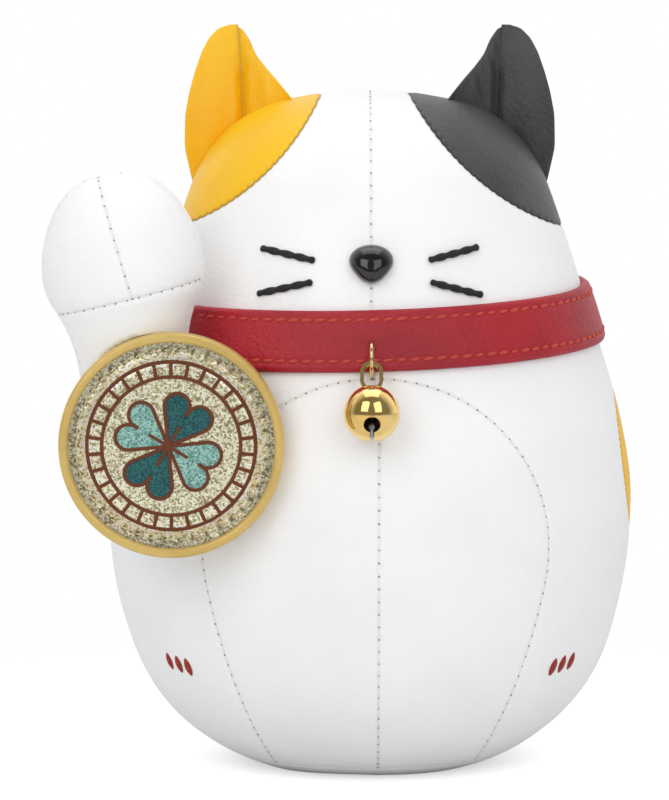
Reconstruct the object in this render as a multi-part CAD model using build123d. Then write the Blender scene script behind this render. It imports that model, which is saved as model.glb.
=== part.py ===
from build123d import *
import os
from bisect import bisect_left
from math import atan2, cos, degrees, hypot, radians, sin, sqrt

# A beckoning cat figurine sewn from leather: an egg-shaped body of panels over fibre stuffing and a
# weight bag, two folded ears on coloured patches, one raised arm with a padded coin, and a stitched
# collar from which a jump ring and a jingle bell hang.
# Frame: origin on the table under the middle of the body, +Z up, the face looks along -Y, and the
# cat's left is +X. Lengths are millimetres and angles are degrees.
# Pieces that touch the egg are cut while it is still round, and then pressed to its depth.

# ---- body ----
body_height = 176.0
body_width = 137.0
body_depth = 121.0
foot_width = 56.0  # the flat oval that stands on the table
leather = 1.4
base_seam_height = 3.0
foot_trim = 0.05  # trimmed off the pressed foot, so that it stands on a true plane
# Ends of the egg's arcs between crown and foot, as shares of half the width and of the height.
egg_arcs = ((0.323, 0.986), (0.677, 0.863), (0.932, 0.555), (0.909, 0.182))
side_seam_y = 28.0  # where the front panels meet the back panels
belly_width = 86.0  # the arched belly inset
belly_shift = 1.2
belly_top = 105.5
belly_middle = 53.0  # height of its widest place
belly_foot = 48.0  # width where it runs out under the body

# ---- coloured patches ----
patch_reach_right = 13.1  # each patch stops this far from the middle of the crown
patch_reach_left = 10.3
patch_low = body_height - 34.6  # height of the patch's lower corner at the side
patch_bulge = 4.9
flank_patch_diameter = 39.0
flank_patch_height = 80.0
flank_patch_turn = 3.0  # behind the side, about Z

# ---- ears ----
ear_leather = 1.5
ear_width = 28.0
ear_height = 24.8
ear_root = 20.0  # the ear's sheet reaches this far below the head's outline
ear_tip_radius = 4.6
ear_middle_x = 34.2  # centre of the ear's foot
ear_tip_x = 37.0
ear_back_y = 7.0
ear_foot_curve = 24.0  # radius of the ear's hollow at its foot
ear_tip_curve = 10.0

# ---- nose and embroidery ----
nose_width = 12.4
nose_height = 10.2
nose_stands_out = 4.4
nose_z = body_height - 42.4
nose_shank_radius = 1.6
nose_shank_length = 9.0
washer_radius = 5.5
washer_thickness = 1.2
whisker_inner_x = 14.6
whisker_outer_x = 26.9
whisker_middle_z = nose_z - 1.8
whisker_inner_spread = 2.7
whisker_outer_spread = 5.8
whisker_thick = 2.1
whisker_stands_out = 1.3
toe_group_x = 48.8
toe_group_z = 30.5
toe_pitch = 2.4
toe_length = 4.6
toe_width = 1.8
toe_lean = 20.0
toe_stands_out = 0.5

# ---- collar ----
collar_low = 107.2  # lower edge at the front
collar_width = 14.7
collar_pitch = 3.0  # the front hangs lower than the back
collar_roll = 1.5  # and the cat's right lower than its left
collar_lining_thickness = 0.9
collar_strap_thickness = 1.2
collar_lap = 24.0  # the outer end laps over the inner end at the back
ring_hole_radius = 1.0

# ---- jump ring and bell ----
ring_mean_radius = 4.3
ring_wire_radius = 0.5
ring_joint_gap = 3.0  # degrees left open where the ring's ends meet
ring_room = 0.35
ring_hang_angle = 60.0  # where the bell hangs on the ring, from straight down to the front
bell_radius = 7.0
bell_wall = 0.5
bell_hang = 12.2  # from the bell's centre to the wire that it hangs on
bell_belly_gap = 0.35
bell_loop_width = 5.7
bell_loop_band = 0.95
bell_loop_depth = 1.3
bell_loop_room = 0.5
bell_slot_width = 1.1
bell_hole_radius = 2.1
bell_hole_angle = 40.0  # from the bottom pole
pellet_radius = 2.75
pellet_room = 0.15

# ---- raised arm ----
arm_foot = Vector(-55.5, -45.0, 68.0)
arm_tip = Vector(-64.6, -47.0, body_height - 19.0)
paw_radius = 20.3
paw_crown = 24.0  # from the widest place of the paw to its top
wrist_radius = 14.0
shoulder_radius = 16.5
wrist_z = body_height - 50.8
wrist_tilt = 14.0
paw_seam_tilt = 17.0
arm_side_seam = 4.0  # the side seam runs this far in front of the arm's middle

# ---- coin ----
coin_radius = 28.0
coin_rim_width = 2.4
coin_thickness = 6.6
coin_x = -49.6
coin_z = 89.5
coin_back_y = -55.8
coin_leather = 1.3
coin_stitch_radius = 23.7
coin_plateau_radius = 21.3
coin_plateau_rise = 6.4
coin_groove_rise = 4.0
coin_margin_rise = 5.0

# ---- inside ----
base_board = 2.0
weight_bag_top = 40.0
weight_bag_padding = 3.0

# ---- tail ----
tail_width = 17.0
tail_length = 27.0
tail_depth = 15.0
tail_z = 33.0
tail_lean = 18.0

FAR = 400.0  # cutters reach past everything
FLAT = body_depth / body_width  # how far the round egg is pressed


# ---------------------------------------------------------------- body form
def smooth_arcs(ends, grow=0.0):
    """Arcs through the ends, each running smoothly into the next, moved to the left by grow."""
    arcs = []
    heading = Vector(1, 0, 0)
    for start, end in zip(ends[:-1], ends[1:]):
        arc = TangentArc(start, end, tangent=heading)
        onward = arc % 1
        near = start + Vector(-heading.Z, 0, heading.X) * grow
        far = end + Vector(-onward.Z, 0, onward.X) * grow
        arcs.append(TangentArc(near, far, tangent=heading) if grow else arc)
        heading = onward
    return arcs


def turned(arcs, more=()):
    """A half section between the arcs and the Z axis, turned about Z from the middle of the back."""
    edges = [*arcs, *more]
    first = edges[0] @ 0
    last = edges[-1] @ 1
    if more:
        face = make_face([*edges, Line(arcs[0] @ 0, more[0] @ 0), Line(arcs[-1] @ 1, more[-1] @ 1)])
    else:
        foot = Vector(0, 0, last.Z)
        face = make_face([*edges, Line(last, foot), Line(foot, first)])
    return Rot(0, 0, 90) * revolve(face, Axis.Z, 360)


def body_outline(grow=0.0):
    """The egg's half outline from the crown down to the foot, moved outwards by grow."""
    ends = [Vector(0, 0, body_height)]
    ends += [Vector(u * body_width / 2, 0, v * body_height) for u, v in egg_arcs]
    ends += [Vector(foot_width / 2, 0, -foot_trim)]
    return smooth_arcs(ends, grow)


def round_body(grow=0.0):
    """The egg while it is still round, moved outwards by grow."""
    return turned(body_outline(grow))


def round_layer(inner, outer):
    """The layer between two offsets of the round egg, above its foot."""
    return turned(body_outline(outer)[:-1], body_outline(inner)[:-1])


def press(shape):
    """Take a piece that was cut on the round egg to the figure's real depth."""
    return scale(shape, by=(1, FLAT, 1))


STATIONS = [arc @ (k / 80) for arc in reversed(body_outline()) for k in range(80, -1, -1)]


def half_width(z):
    """Half the body's width at height z."""
    k = min(max(bisect_left(STATIONS, z, key=lambda p: p.Z), 1), len(STATIONS) - 1)
    a, b = STATIONS[k - 1], STATIONS[k]
    rise = b.Z - a.Z
    return a.X + (b.X - a.X) * ((z - a.Z) / rise if rise > 1e-9 else 0)


def half_depth(z):
    return half_width(z) * FLAT


def round_front_y(z):
    """Y of the round egg's front in the middle plane."""
    return -half_width(z)


def crown_z(x):
    """Height of the body's outline above x."""
    low, high = belly_middle, body_height
    for _ in range(40):
        middle = (low + high) / 2
        if half_width(middle) > abs(x):
            low = middle
        else:
            high = middle
    return low


def slab(z_low, z_high):
    """Everything between two heights."""
    return Pos(0, 0, (z_low + z_high) / 2) * Box(FAR, FAR, z_high - z_low)


def half_space(x=0, y=0):
    """Everything on the named side of the X or Y plane through the origin."""
    return Pos(x * FAR / 2, y * FAR / 2, 0) * Box(FAR if x else 2 * FAR, FAR if y else 2 * FAR, 2 * FAR)


def save(name, *shapes):
    solids = [s for shape in shapes for s in shape.solids()]
    export_step(solids[0] if len(solids) == 1 else Compound(children=solids), f"parts/{name}.step")


# ---------------------------------------------------------------- cutters for the panels
def belly_cutter():
    """The arched inset, cut straight back from the front to the middle of the body."""
    right = Vector(-belly_width / 2, 0, belly_middle)
    left = Vector(belly_width / 2, 0, belly_middle)
    top = ThreePointArc(right, (0, 0, belly_top), left)
    left_side = TangentArc(left, (belly_foot / 2, 0, 0), tangent=top % 1)
    right_side = TangentArc(right, (-belly_foot / 2, 0, 0), tangent=(top % 0) * -1)
    face = make_face([top, left_side, right_side, Line(left_side @ 1, right_side @ 1)])
    return Pos(belly_shift, 0, 0) * extrude(face, amount=FAR, dir=(0, -1, 0))


def patch_cutter(side, reach):
    """A drum along Y whose rim is the patch's lower edge. side is +1 for the cat's left."""
    top = Vector(side * reach, crown_z(reach))
    low = Vector(side * half_width(patch_low), patch_low)
    chord = low - top
    radius = chord.length**2 / (8 * patch_bulge) + patch_bulge / 2
    inward = Vector(-side * abs(chord.Y), -abs(chord.X)).normalized()
    centre = (top + low) / 2 - inward * (radius - patch_bulge)
    return Pos(centre.X, 0, centre.Y) * Rot(90, 0, 0) * Cylinder(radius, FAR)


def flank_cutter():
    """A round plug that reaches out of the cat's left flank."""
    plug = Cylinder(flank_patch_diameter / 2, FAR, align=(Align.CENTER, Align.CENTER, Align.MIN))
    return Pos(0, 0, flank_patch_height) * Rot(0, 0, flank_patch_turn) * Rot(0, 90, 0) * plug


# ---------------------------------------------------------------- ears
def ear_cone(inset):
    """Inside of the ear's curl for the cat's left ear."""
    middle_z = crown_z(ear_middle_x)
    foot = Plane((ear_middle_x, ear_back_y - ear_foot_curve, middle_z - ear_root))
    tip = Plane((ear_tip_x, ear_back_y - ear_tip_curve, middle_z + ear_height))
    return loft([foot * Circle(ear_foot_curve - inset), tip * Circle(ear_tip_curve - inset)])


def ear_sheet(outer, inner):
    """The back half of the curl between two depths in from the ear's back."""
    lean = degrees(atan2(ear_foot_curve - ear_tip_curve, ear_height + ear_root))
    behind = Pos(0, ear_back_y - ear_foot_curve, crown_z(ear_middle_x) - ear_root) * Rot(-lean, 0, 0)
    behind = behind * Pos(0, FAR / 2, 0) * Box(FAR, FAR, FAR)
    return (ear_cone(outer) - ear_cone(inner)) & behind


def ear_outline():
    """The ear's front outline, for the cat's left ear, cut along Y."""
    middle_z = crown_z(ear_middle_x)
    inner_x = ear_middle_x - ear_width / 2
    outer_x = ear_middle_x + ear_width / 2
    low_z = middle_z - ear_root - 5
    tip_z = middle_z + ear_height - ear_tip_radius
    with BuildLine(Plane.XZ) as edge:
        low = Line((inner_x - 4, low_z), (outer_x - 10, low_z))
        outer = Spline(
            low @ 1,
            (outer_x - 1.6, middle_z - 12),
            (outer_x, middle_z - 6.5),
            (outer_x - 4.2, middle_z + 9),
            (ear_tip_x + ear_tip_radius * 0.86, tip_z + ear_tip_radius * 0.5),
        )
        crown = ThreePointArc(
            outer @ 1,
            (ear_tip_x - 0.4, tip_z + ear_tip_radius),
            (ear_tip_x - ear_tip_radius * 0.92, tip_z + ear_tip_radius * 0.3),
        )
        inner = Spline(
            crown @ 1,
            (inner_x + 7.2, middle_z + 15.4),
            (inner_x + 0.7, middle_z + 7),
            (inner_x - 4, middle_z),
        )
        Line(inner @ 1, low @ 0)
    return extrude(make_face(edge.line), amount=FAR / 2, both=True)


# ---------------------------------------------------------------- arm
def round_arm(grow=0.0):
    """The arm with its paw on the round egg, moved outwards by grow."""
    foot = Vector(arm_foot.X, arm_foot.Y / FLAT, arm_foot.Z)
    tip = Vector(arm_tip.X, arm_tip.Y / FLAT, arm_tip.Z)
    length = (tip - foot).length
    widest = length - paw_crown
    ends = [
        Vector(0, 0, length),
        Vector(paw_radius * 0.764, 0, length - paw_crown * 0.358),
        Vector(paw_radius, 0, widest),
        Vector(paw_radius * 0.897, 0, widest - 9),
        Vector(wrist_radius, 0, widest - 22),
        Vector(shoulder_radius, 0, shoulder_radius * 1.2),
        Vector(shoulder_radius * 0.65, 0, 0),
    ]
    place = Plane(foot, x_dir=(1, 0, 0), z_dir=tip - foot)
    return place * turned(smooth_arcs(ends, grow))


def on_arm(z):
    """The point of the arm's middle line at height z, on the round egg."""
    along = (z - arm_foot.Z) / (arm_tip.Z - arm_foot.Z)
    at = arm_foot + (arm_tip - arm_foot) * along
    return Vector(at.X, at.Y / FLAT, at.Z)


def wrist_cutter():
    """Everything above the wrist seam."""
    return Pos(*on_arm(wrist_z)) * Rot(0, -wrist_tilt, 0) * Pos(0, 0, FAR / 2) * Box(FAR, FAR, FAR)


def paw_outer_cutter():
    """Everything on the outer side of the paw's middle seam."""
    turn = Pos(2.6, 0, 0) * Pos(*on_arm(wrist_z)) * Rot(0, -paw_seam_tilt, 0)
    return turn * Pos(-FAR / 2, 0, 0) * Box(FAR, FAR, FAR)


def arm_front_cutter():
    """Everything in front of the arm's side seam."""
    return Pos(*on_arm(wrist_z)) * Pos(0, -arm_side_seam - FAR / 2, 0) * Box(FAR, FAR, FAR)


# ---------------------------------------------------------------- coin
def coin_place():
    """The coin's own frame: Z points out of its face, and the origin is the middle of its back."""
    return Plane((coin_x, coin_back_y, coin_z), x_dir=(1, 0, 0), z_dir=(0, -1, 0))


def make_coin():
    """Rim, face, pad and back of the coin, in its own frame."""
    seat = coin_radius - coin_rim_width
    section = Rot(90, 0, 0) * RectangleRounded(coin_rim_width, coin_thickness, coin_rim_width * 0.46)
    rim = revolve(Pos(seat + coin_rim_width / 2, 0, coin_thickness / 2) * section, Axis.Z, 360)

    def face_top(drop):
        return Spline(
            (0, 0, coin_plateau_rise - drop),
            (coin_plateau_radius * 0.8, 0, coin_plateau_rise - 0.15 - drop),
            (coin_plateau_radius, 0, coin_plateau_rise - 0.7 - drop),
            (coin_stitch_radius, 0, coin_groove_rise - drop),
            (seat, 0, coin_margin_rise - drop),
            tangents=[(1, 0, 0), (1, 0, 0.3)],
        )

    top = face_top(0)
    under = face_top(coin_leather)
    face = revolve(make_face([top, under, Line(top @ 0, under @ 0), Line(top @ 1, under @ 1)]), Axis.Z, 360)
    back = Cylinder(seat, coin_leather, align=(Align.CENTER, Align.CENTER, Align.MIN))
    floor = Line((0, 0, coin_leather), (seat, 0, coin_leather))
    pad = revolve(make_face([under, floor, Line(under @ 0, floor @ 0), Line(under @ 1, floor @ 1)]), Axis.Z, 360)
    return rim, face, pad, back


# ---------------------------------------------------------------- collar, ring and bell
hole_z = collar_low + collar_width / 2
collar_thickness = collar_lining_thickness + collar_strap_thickness


def collar_slab(margin=0.0):
    """Everything between the collar's two edges, on the round egg."""
    rise = half_width(hole_z) * FLAT * sin(radians(collar_pitch))
    pitch = degrees(atan2(sin(radians(collar_pitch)) * FLAT, cos(radians(collar_pitch))))
    place = Pos(0, 0, hole_z + rise) * Rot(pitch, -collar_roll, 0)
    return place * Box(FAR, FAR, collar_width + 2 * margin)


collar_lean = atan2(half_depth(collar_low) - half_depth(collar_low + collar_width), collar_width)
hole = Vector(0, -half_depth(hole_z) - collar_thickness * FLAT / 2, hole_z)
ring_centre = hole + Vector(0, -sin(collar_lean), -cos(collar_lean)) * ring_mean_radius
hang_down = radians(ring_hang_angle)
hang_point = ring_centre + Vector(0, -sin(hang_down), -cos(hang_down)) * ring_mean_radius


def belly_distance(y, z):
    """Distance from a point in front of the body to its middle line."""
    return min(hypot(y + half_depth(z + k / 2), k / 2) for k in range(-24, 25))


def lean_of_bell():
    """The lean at which the bell just rests against the belly."""
    lean = 0.0
    while lean < 80:
        centre = hang_point + Vector(0, -sin(radians(lean)), -cos(radians(lean))) * bell_hang
        if belly_distance(centre.Y, centre.Z) >= bell_radius + bell_belly_gap:
            break
        lean += 0.25
    return lean


bell_lean = lean_of_bell()
bell_axis = Vector(0, -sin(radians(bell_lean)), -cos(radians(bell_lean)))  # towards its bottom pole
bell_centre = hang_point + bell_axis * bell_hang


def make_ring():
    section = Plane.XZ * Pos(ring_mean_radius, 0) * Circle(ring_wire_radius)
    return Pos(*ring_centre) * Rot(0, 90, 0) * revolve(section, Axis.Z, 360 - ring_joint_gap)


def bell_place():
    """The bell's own frame: Z points up through the loop, and the slot runs along Y."""
    return Plane(bell_centre, x_dir=(1, 0, 0), z_dir=bell_axis * -1)


def make_bell():
    """Upper shell, lower shell and loop in the bell's own frame."""
    shell = Sphere(bell_radius) - Sphere(bell_radius - bell_wall)
    upper = shell & slab(0, FAR)
    slot_half = bell_radius * sin(radians(bell_hole_angle))
    lower = (shell & slab(-FAR, 0)) - Pos(0, 0, -bell_radius) * Box(bell_slot_width, 2 * slot_half, bell_radius)
    for side in (-1, 1):
        drill = Cylinder(bell_hole_radius, bell_radius)
        lower = lower - Rot(side * bell_hole_angle, 0, 0) * Pos(0, 0, -bell_radius) * drill
    top = bell_hang + ring_wire_radius + bell_loop_room + bell_loop_band
    low = bell_radius - 2 * bell_wall
    bore = bell_loop_width - 2 * bell_loop_band
    middle = (low + top) / 2
    outer = Pos(0, 0, middle) * Rot(90, 0, 0) * SlotOverall(top - low, bell_loop_width, rotation=90)
    inner = Pos(0, 0, middle) * Rot(90, 0, 0) * SlotOverall(top - low - 2 * bell_loop_band, bore, rotation=90)
    loop = extrude(outer, amount=bell_loop_depth / 2, both=True)
    loop = loop - extrude(inner, amount=bell_loop_depth, both=True) - Sphere(bell_radius)
    return upper, lower, loop


# ---------------------------------------------------------------- build
os.makedirs("parts", exist_ok=True)

egg = round_body()
inside = round_body(-leather)
shell = egg - inside

ring_reach = ring_mean_radius + ring_wire_radius + ring_room
ring_width = 2 * (ring_wire_radius + ring_room)
ring_way = Pos(0, ring_centre.Y / FLAT, ring_centre.Z) * Box(ring_width, 2 * ring_reach / FLAT, 2 * ring_reach)
nose_y = round_front_y(nose_z)
shank = Cylinder(nose_shank_radius, nose_shank_length)
shank = Pos(0, nose_y + nose_shank_length / 2 - 1.5, nose_z) * Rot(90, 0, 0) * shank

# panels
wall = (shell & slab(base_seam_height, FAR)) - ring_way - shank
save("base_panel", press(shell & slab(-FAR, base_seam_height)) & slab(0, FAR))
for side, reach, hand in ((-1, patch_reach_right, "right"), (1, patch_reach_left, "left")):
    cutter = patch_cutter(side, reach)
    save(f"patch_{hand}", press(wall & cutter))
    wall = wall - cutter
save("flank_patch", press(wall & flank_cutter()))
wall = wall - flank_cutter()
behind = Pos(0, side_seam_y / FLAT, 0) * half_space(y=1)
front = wall - behind
belly = front & belly_cutter()
chest = front - belly_cutter()
back = wall & behind
for side, hand in ((-1, "right"), (1, "left")):
    save(f"belly_panel_{hand}", press(belly & half_space(x=side)))
    save(f"front_panel_{hand}", press(chest & half_space(x=side)))
    save(f"back_panel_{hand}", press(back & half_space(x=side)))

# inside
board_top = leather + base_board
bag_wall = leather + weight_bag_padding
bag = Pos(0, 0, board_top) * Cone(
    half_width(board_top) - bag_wall,
    half_width(weight_bag_top) - bag_wall,
    weight_bag_top - board_top,
    align=(Align.CENTER, Align.CENTER, Align.MIN),
)
washer_blank = Cylinder(washer_radius, washer_thickness / FLAT)
washer_blank = Pos(0, nose_y + leather + 3 * washer_thickness, nose_z) * Rot(90, 0, 0) * washer_blank
stuffing = (inside & slab(board_top, FAR)) - bag - washer_blank - shank - ring_way
save("base_board", press(inside & slab(-FAR, board_top)))
save("weight_bag", press(bag))
save("nose_washer", press(washer_blank - shank))
save("body_stuffing", press(stuffing))

# nose
half = nose_width / 2
with BuildSketch() as nose_face:
    with BuildLine():
        Polyline(
            (-half, nose_height * 0.46),
            (half, nose_height * 0.46),
            (half, nose_height * 0.12),
            (0, -nose_height * 0.7),
            (-half, nose_height * 0.12),
            close=True,
        )
    make_face()
    fillet(nose_face.vertices(), radius=2.2)
nose_block = Plane.XZ * Pos(0, nose_z, 0) * nose_face.sketch
nose_block = extrude(nose_block, amount=FAR)
dome = scale(Sphere(1), by=(nose_width * 0.66, (nose_stands_out + 4.4) / FLAT, nose_height * 0.74))
dome = Pos(0, nose_y + 4.4 / FLAT, nose_z + 0.2) * dome
nose = (nose_block & dome) - egg
save("nose", press(nose + shank))

# embroidery
skin = round_layer(0, whisker_stands_out)
whiskers = []
for side in (-1, 1):
    for up in (-1, 1):
        start = Vector(side * whisker_inner_x, whisker_middle_z + up * whisker_inner_spread)
        end = Vector(side * whisker_outer_x, whisker_middle_z + up * whisker_outer_spread)
        run = end - start
        bar = SlotOverall(run.length + whisker_thick, whisker_thick)
        bar = Rot(0, 0, degrees(atan2(run.Y, run.X))) * bar
        bar = Plane.XZ * Pos((start.X + end.X) / 2, (start.Y + end.Y) / 2) * bar
        whiskers.append(press(skin & extrude(bar, amount=FAR)))
save("whiskers", *whiskers)

skin = round_body(toe_stands_out) - egg
toes = []
for side in (-1, 1):
    for k in (-1, 0, 1):
        oval = Rot(0, 0, -side * toe_lean) * Ellipse(toe_width / 2, toe_length / 2)
        oval = Plane.XZ * Pos(side * (toe_group_x + k * toe_pitch), toe_group_z + 0.4 * k) * oval
        toes.append(press(skin & extrude(oval, amount=FAR)))
save("toe_marks", *toes)

# collar
drill = Pos(0, -body_width / 2, hole_z) * Rot(90, 0, 0) * Cylinder(ring_hole_radius, body_width / 2)
lining_layer = round_layer(0, collar_lining_thickness)
strap_layer = round_layer(collar_lining_thickness, collar_thickness)
lap_layer = round_layer(collar_thickness, collar_thickness + collar_strap_thickness)
lap_box = Pos(0, FAR / 2, 0) * Box(collar_lap, FAR, FAR)
save("collar_lining", press((lining_layer & collar_slab()) - drill))
save("collar_strap", press((strap_layer & collar_slab()) - drill))
save("collar_lap", press((lap_layer & collar_slab()) & lap_box))

# ears
outline = ear_outline()
seam_x = ear_middle_x - 1.2
ear_back = (ear_sheet(0, ear_leather) & outline) - egg
ear_lining = (ear_sheet(ear_leather, 2 * ear_leather) & outline) - egg
ear = {
    "back": ear_back,
    "lining_inner": ear_lining & (Pos(seam_x, 0, 0) * half_space(x=-1)),
    "lining_outer": ear_lining & (Pos(seam_x, 0, 0) * half_space(x=1)),
}
for name, piece in ear.items():
    save(f"ear_left_{name}", press(piece))
    save(f"ear_right_{name}", press(mirror(piece, about=Plane.YZ)))

# arm
drum = Cylinder(coin_radius, FAR, align=(Align.CENTER, Align.CENTER, Align.MIN))
drum = Plane((coin_x, coin_back_y / FLAT, coin_z), x_dir=(1, 0, 0), z_dir=(0, -1, 0)) * drum
whole_arm = round_arm()
arm_inside = round_arm(-leather)
arm_shell = (whole_arm - arm_inside) - egg - drum
arm_front = arm_shell & arm_front_cutter()
paw = arm_front & wrist_cutter()
save("arm_back", press(arm_shell - arm_front_cutter()))
save("arm_front", press(arm_front - wrist_cutter()))
save("paw_outer", press(paw & paw_outer_cutter()))
save("paw_inner", press(paw - paw_outer_cutter()))
save("arm_stuffing", press(arm_inside - egg - drum))

# coin
for piece, name in zip(make_coin(), ("coin_rim", "coin_face", "coin_pad", "coin_back")):
    save(name, coin_place() * piece)

# ring and bell
save("jump_ring", make_ring())
for piece, name in zip(make_bell(), ("bell_upper_shell", "bell_lower_shell", "bell_loop")):
    save(name, bell_place() * piece)
pellet_at = bell_centre - Vector(0, 0, bell_radius - bell_wall - pellet_radius - pellet_room)
save("bell_pellet", Pos(*pellet_at) * Sphere(pellet_radius))

# tail
tail_at = Pos(0, half_width(tail_z), tail_z) * Rot(-tail_lean, 0, 0)
tail_out = tail_at * scale(Sphere(1), by=(tail_width / 2, tail_depth, tail_length / 2))
tail_in = tail_at * scale(Sphere(1), by=(tail_width / 2 - leather, tail_depth - leather, tail_length / 2 - leather))
save("tail", press((tail_out - tail_in) - egg))
save("tail_stuffing", press(tail_in - egg))

print("ring centre", ring_centre)
print("hang point", hang_point)
print("bell centre", bell_centre)
print("bell lean", bell_lean)
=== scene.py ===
from math import asin, atan2, ceil, cos, hypot, pi, radians, sin, sqrt

import bpy
import numpy as np
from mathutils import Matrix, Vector


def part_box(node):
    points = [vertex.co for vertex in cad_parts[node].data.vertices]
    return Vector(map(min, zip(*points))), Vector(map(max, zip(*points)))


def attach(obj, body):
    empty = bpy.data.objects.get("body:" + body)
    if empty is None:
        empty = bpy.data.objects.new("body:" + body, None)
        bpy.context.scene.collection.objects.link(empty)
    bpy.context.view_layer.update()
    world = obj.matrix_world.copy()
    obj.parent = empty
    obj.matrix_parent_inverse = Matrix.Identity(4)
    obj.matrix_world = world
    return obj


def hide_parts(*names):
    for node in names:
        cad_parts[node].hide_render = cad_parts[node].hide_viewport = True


# A beckoning cat figurine sewn from leather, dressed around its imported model. Sizes in this script are
# millimetres until a mesh is made. The face looks along -Y and the cat's left is +X.

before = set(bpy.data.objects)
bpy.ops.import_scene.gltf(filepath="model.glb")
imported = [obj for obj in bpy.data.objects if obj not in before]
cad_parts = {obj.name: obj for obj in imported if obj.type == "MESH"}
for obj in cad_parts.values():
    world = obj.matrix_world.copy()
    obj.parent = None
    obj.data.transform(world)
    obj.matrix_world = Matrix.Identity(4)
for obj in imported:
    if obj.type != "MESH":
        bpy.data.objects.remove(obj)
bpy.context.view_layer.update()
MM = 0.001


def node_box(*names):
    """Lowest and highest corner of the named nodes together, in millimetres."""
    boxes = [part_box(name) for name in names]
    low = [min(box[0][k] for box in boxes) / MM for k in range(3)]
    high = [max(box[1][k] for box in boxes) / MM for k in range(3)]
    return np.array(low), np.array(high)


HANDS = ("right", "left")
PANELS = [f"{place}_panel_{hand}" for place in ("belly", "front", "back") for hand in HANDS]
HEIGHT = node_box("base_panel", "patch_right", "patch_left", *PANELS)[1][2]
HALF_WIDTH = 68.5
FLAT = 121 / 137
FOOT = 28.0
EGG_ENDS = ((0, 1), (0.323, 0.986), (0.677, 0.863), (0.932, 0.555), (0.909, 0.182))
BASE_SEAM = node_box("base_panel")[1][2]
SIDE_SEAM = node_box("back_panel_left")[0][1]

# ---------------------------------------------------------------- camera
scene = bpy.context.scene
scene.view_settings.view_transform = "Standard"


def look_along(thing, target):
    """Turn a camera or lamp towards a point."""
    aim = Vector(target) - thing.location
    thing.rotation_euler = aim.to_track_quat("-Z", "Y").to_euler()


camera = bpy.data.objects.new("camera", bpy.data.cameras.new("camera"))
bpy.context.collection.objects.link(camera)
camera.data.lens = 189
camera.data.clip_end = 20
AIM = (-0.0092, 0.0, 0.095)
RISE, CAMERA_AWAY = radians(5.5), 1.1
camera.location = (AIM[0], AIM[1] - CAMERA_AWAY * cos(RISE), AIM[2] + CAMERA_AWAY * sin(RISE))
look_along(camera, AIM)
scene.camera = camera


# ---------------------------------------------------------------- shader helpers
def add(tree, kind, inputs=None, **settings):
    """Add a node, set it up, and link or fill its inputs."""
    node = tree.nodes.new(kind)
    for name, value in settings.items():
        setattr(node, name, value)
    for name, value in (inputs or {}).items():
        socket = node.inputs[name]
        if isinstance(value, bpy.types.NodeSocket):
            tree.links.new(value, socket)
        else:
            socket.default_value = value
    return node


def colour(red, green, blue):
    """Linear colour from the usual 0 to 255 values."""
    def linear(v):
        v /= 255
        return v / 12.92 if v <= 0.04045 else ((v + 0.055) / 1.055) ** 2.4
    return (linear(red), linear(green), linear(blue), 1.0)


def shades(tree, factor, *stops):
    """A colour ramp with the given places and colours."""
    node = add(tree, "ShaderNodeValToRGB", {"Fac": factor})
    ramp = node.color_ramp
    for place, tint in stops[1:-1]:
        ramp.elements.new(place).color = tint
    for element, (place, tint) in ((ramp.elements[0], stops[0]), (ramp.elements[-1], stops[-1])):
        element.position = place
        element.color = tint
    return node.outputs["Color"]


def material(name):
    """A new node material: its tree, its shader and its object coordinates."""
    made = bpy.data.materials.new(name)
    made.use_nodes = True
    tree = made.node_tree
    shader = tree.nodes["Principled BSDF"]
    place = add(tree, "ShaderNodeTexCoord").outputs["Object"]
    return made, tree, shader, place


def clouds(tree, place, scale, detail=2.0):
    """Soft noise over a place."""
    return add(tree, "ShaderNodeTexNoise", {"Vector": place, "Scale": scale, "Detail": detail}).outputs[0]


def paint(tree, shader, factor, *stops):
    """Give the shader a colour from a ramp."""
    tree.links.new(shades(tree, factor, *stops), shader.inputs["Base Color"])


def roughen(tree, shader, factor, low, high):
    """Let the roughness wander between two values."""
    spread = add(tree, "ShaderNodeMapRange", {"Value": factor, "To Min": low, "To Max": high})
    tree.links.new(spread.outputs[0], shader.inputs["Roughness"])


def emboss(tree, shader, height, light_share, distance):
    """Add a fine relief."""
    bump = add(tree, "ShaderNodeBump", {"Height": height, "Strength": light_share, "Distance": distance})
    tree.links.new(bump.outputs[0], shader.inputs["Normal"])


def paint_seam_shade(tree, shader, base, dark):
    """Mix painted shade in along the seams of a skin, as strong as its seam attribute."""
    seam = add(tree, "ShaderNodeAttribute", attribute_name="seam").outputs["Fac"]
    tinted = add(tree, "ShaderNodeMix", {"Factor": seam, 6: base, 7: (*dark, 1.0)}, data_type="RGBA")
    tree.links.new(tinted.outputs[2], shader.inputs["Base Color"])


def leather(name, tint, deep, rough, grain, lift):
    """Smooth leather: fine pebbled grain, faint clouds of colour, and painted shade along the seams."""
    made, tree, shader, place = material(name)
    base = shades(tree, clouds(tree, place, 45.0, 4.0), (0.3, deep), (0.62, tint))
    paint_seam_shade(tree, shader, base, [c * 0.42 for c in deep[:3]])
    cells = add(tree, "ShaderNodeTexVoronoi", {"Vector": place, "Scale": grain, "Randomness": 1.0})
    pores = clouds(tree, place, grain * 0.9, 3.0)
    relief = add(tree, "ShaderNodeMath", {0: cells.outputs["Distance"], 1: pores}, operation="ADD").outputs[0]
    relief = add(tree, "ShaderNodeMath", {0: relief, 1: clouds(tree, place, grain * 0.16, 5.0)}, operation="ADD")
    emboss(tree, shader, relief.outputs[0], lift, 0.0003)
    roughen(tree, shader, pores, rough - 0.06, rough + 0.1)
    shader.inputs["Coat Roughness"].default_value = 0.35
    return made


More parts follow.
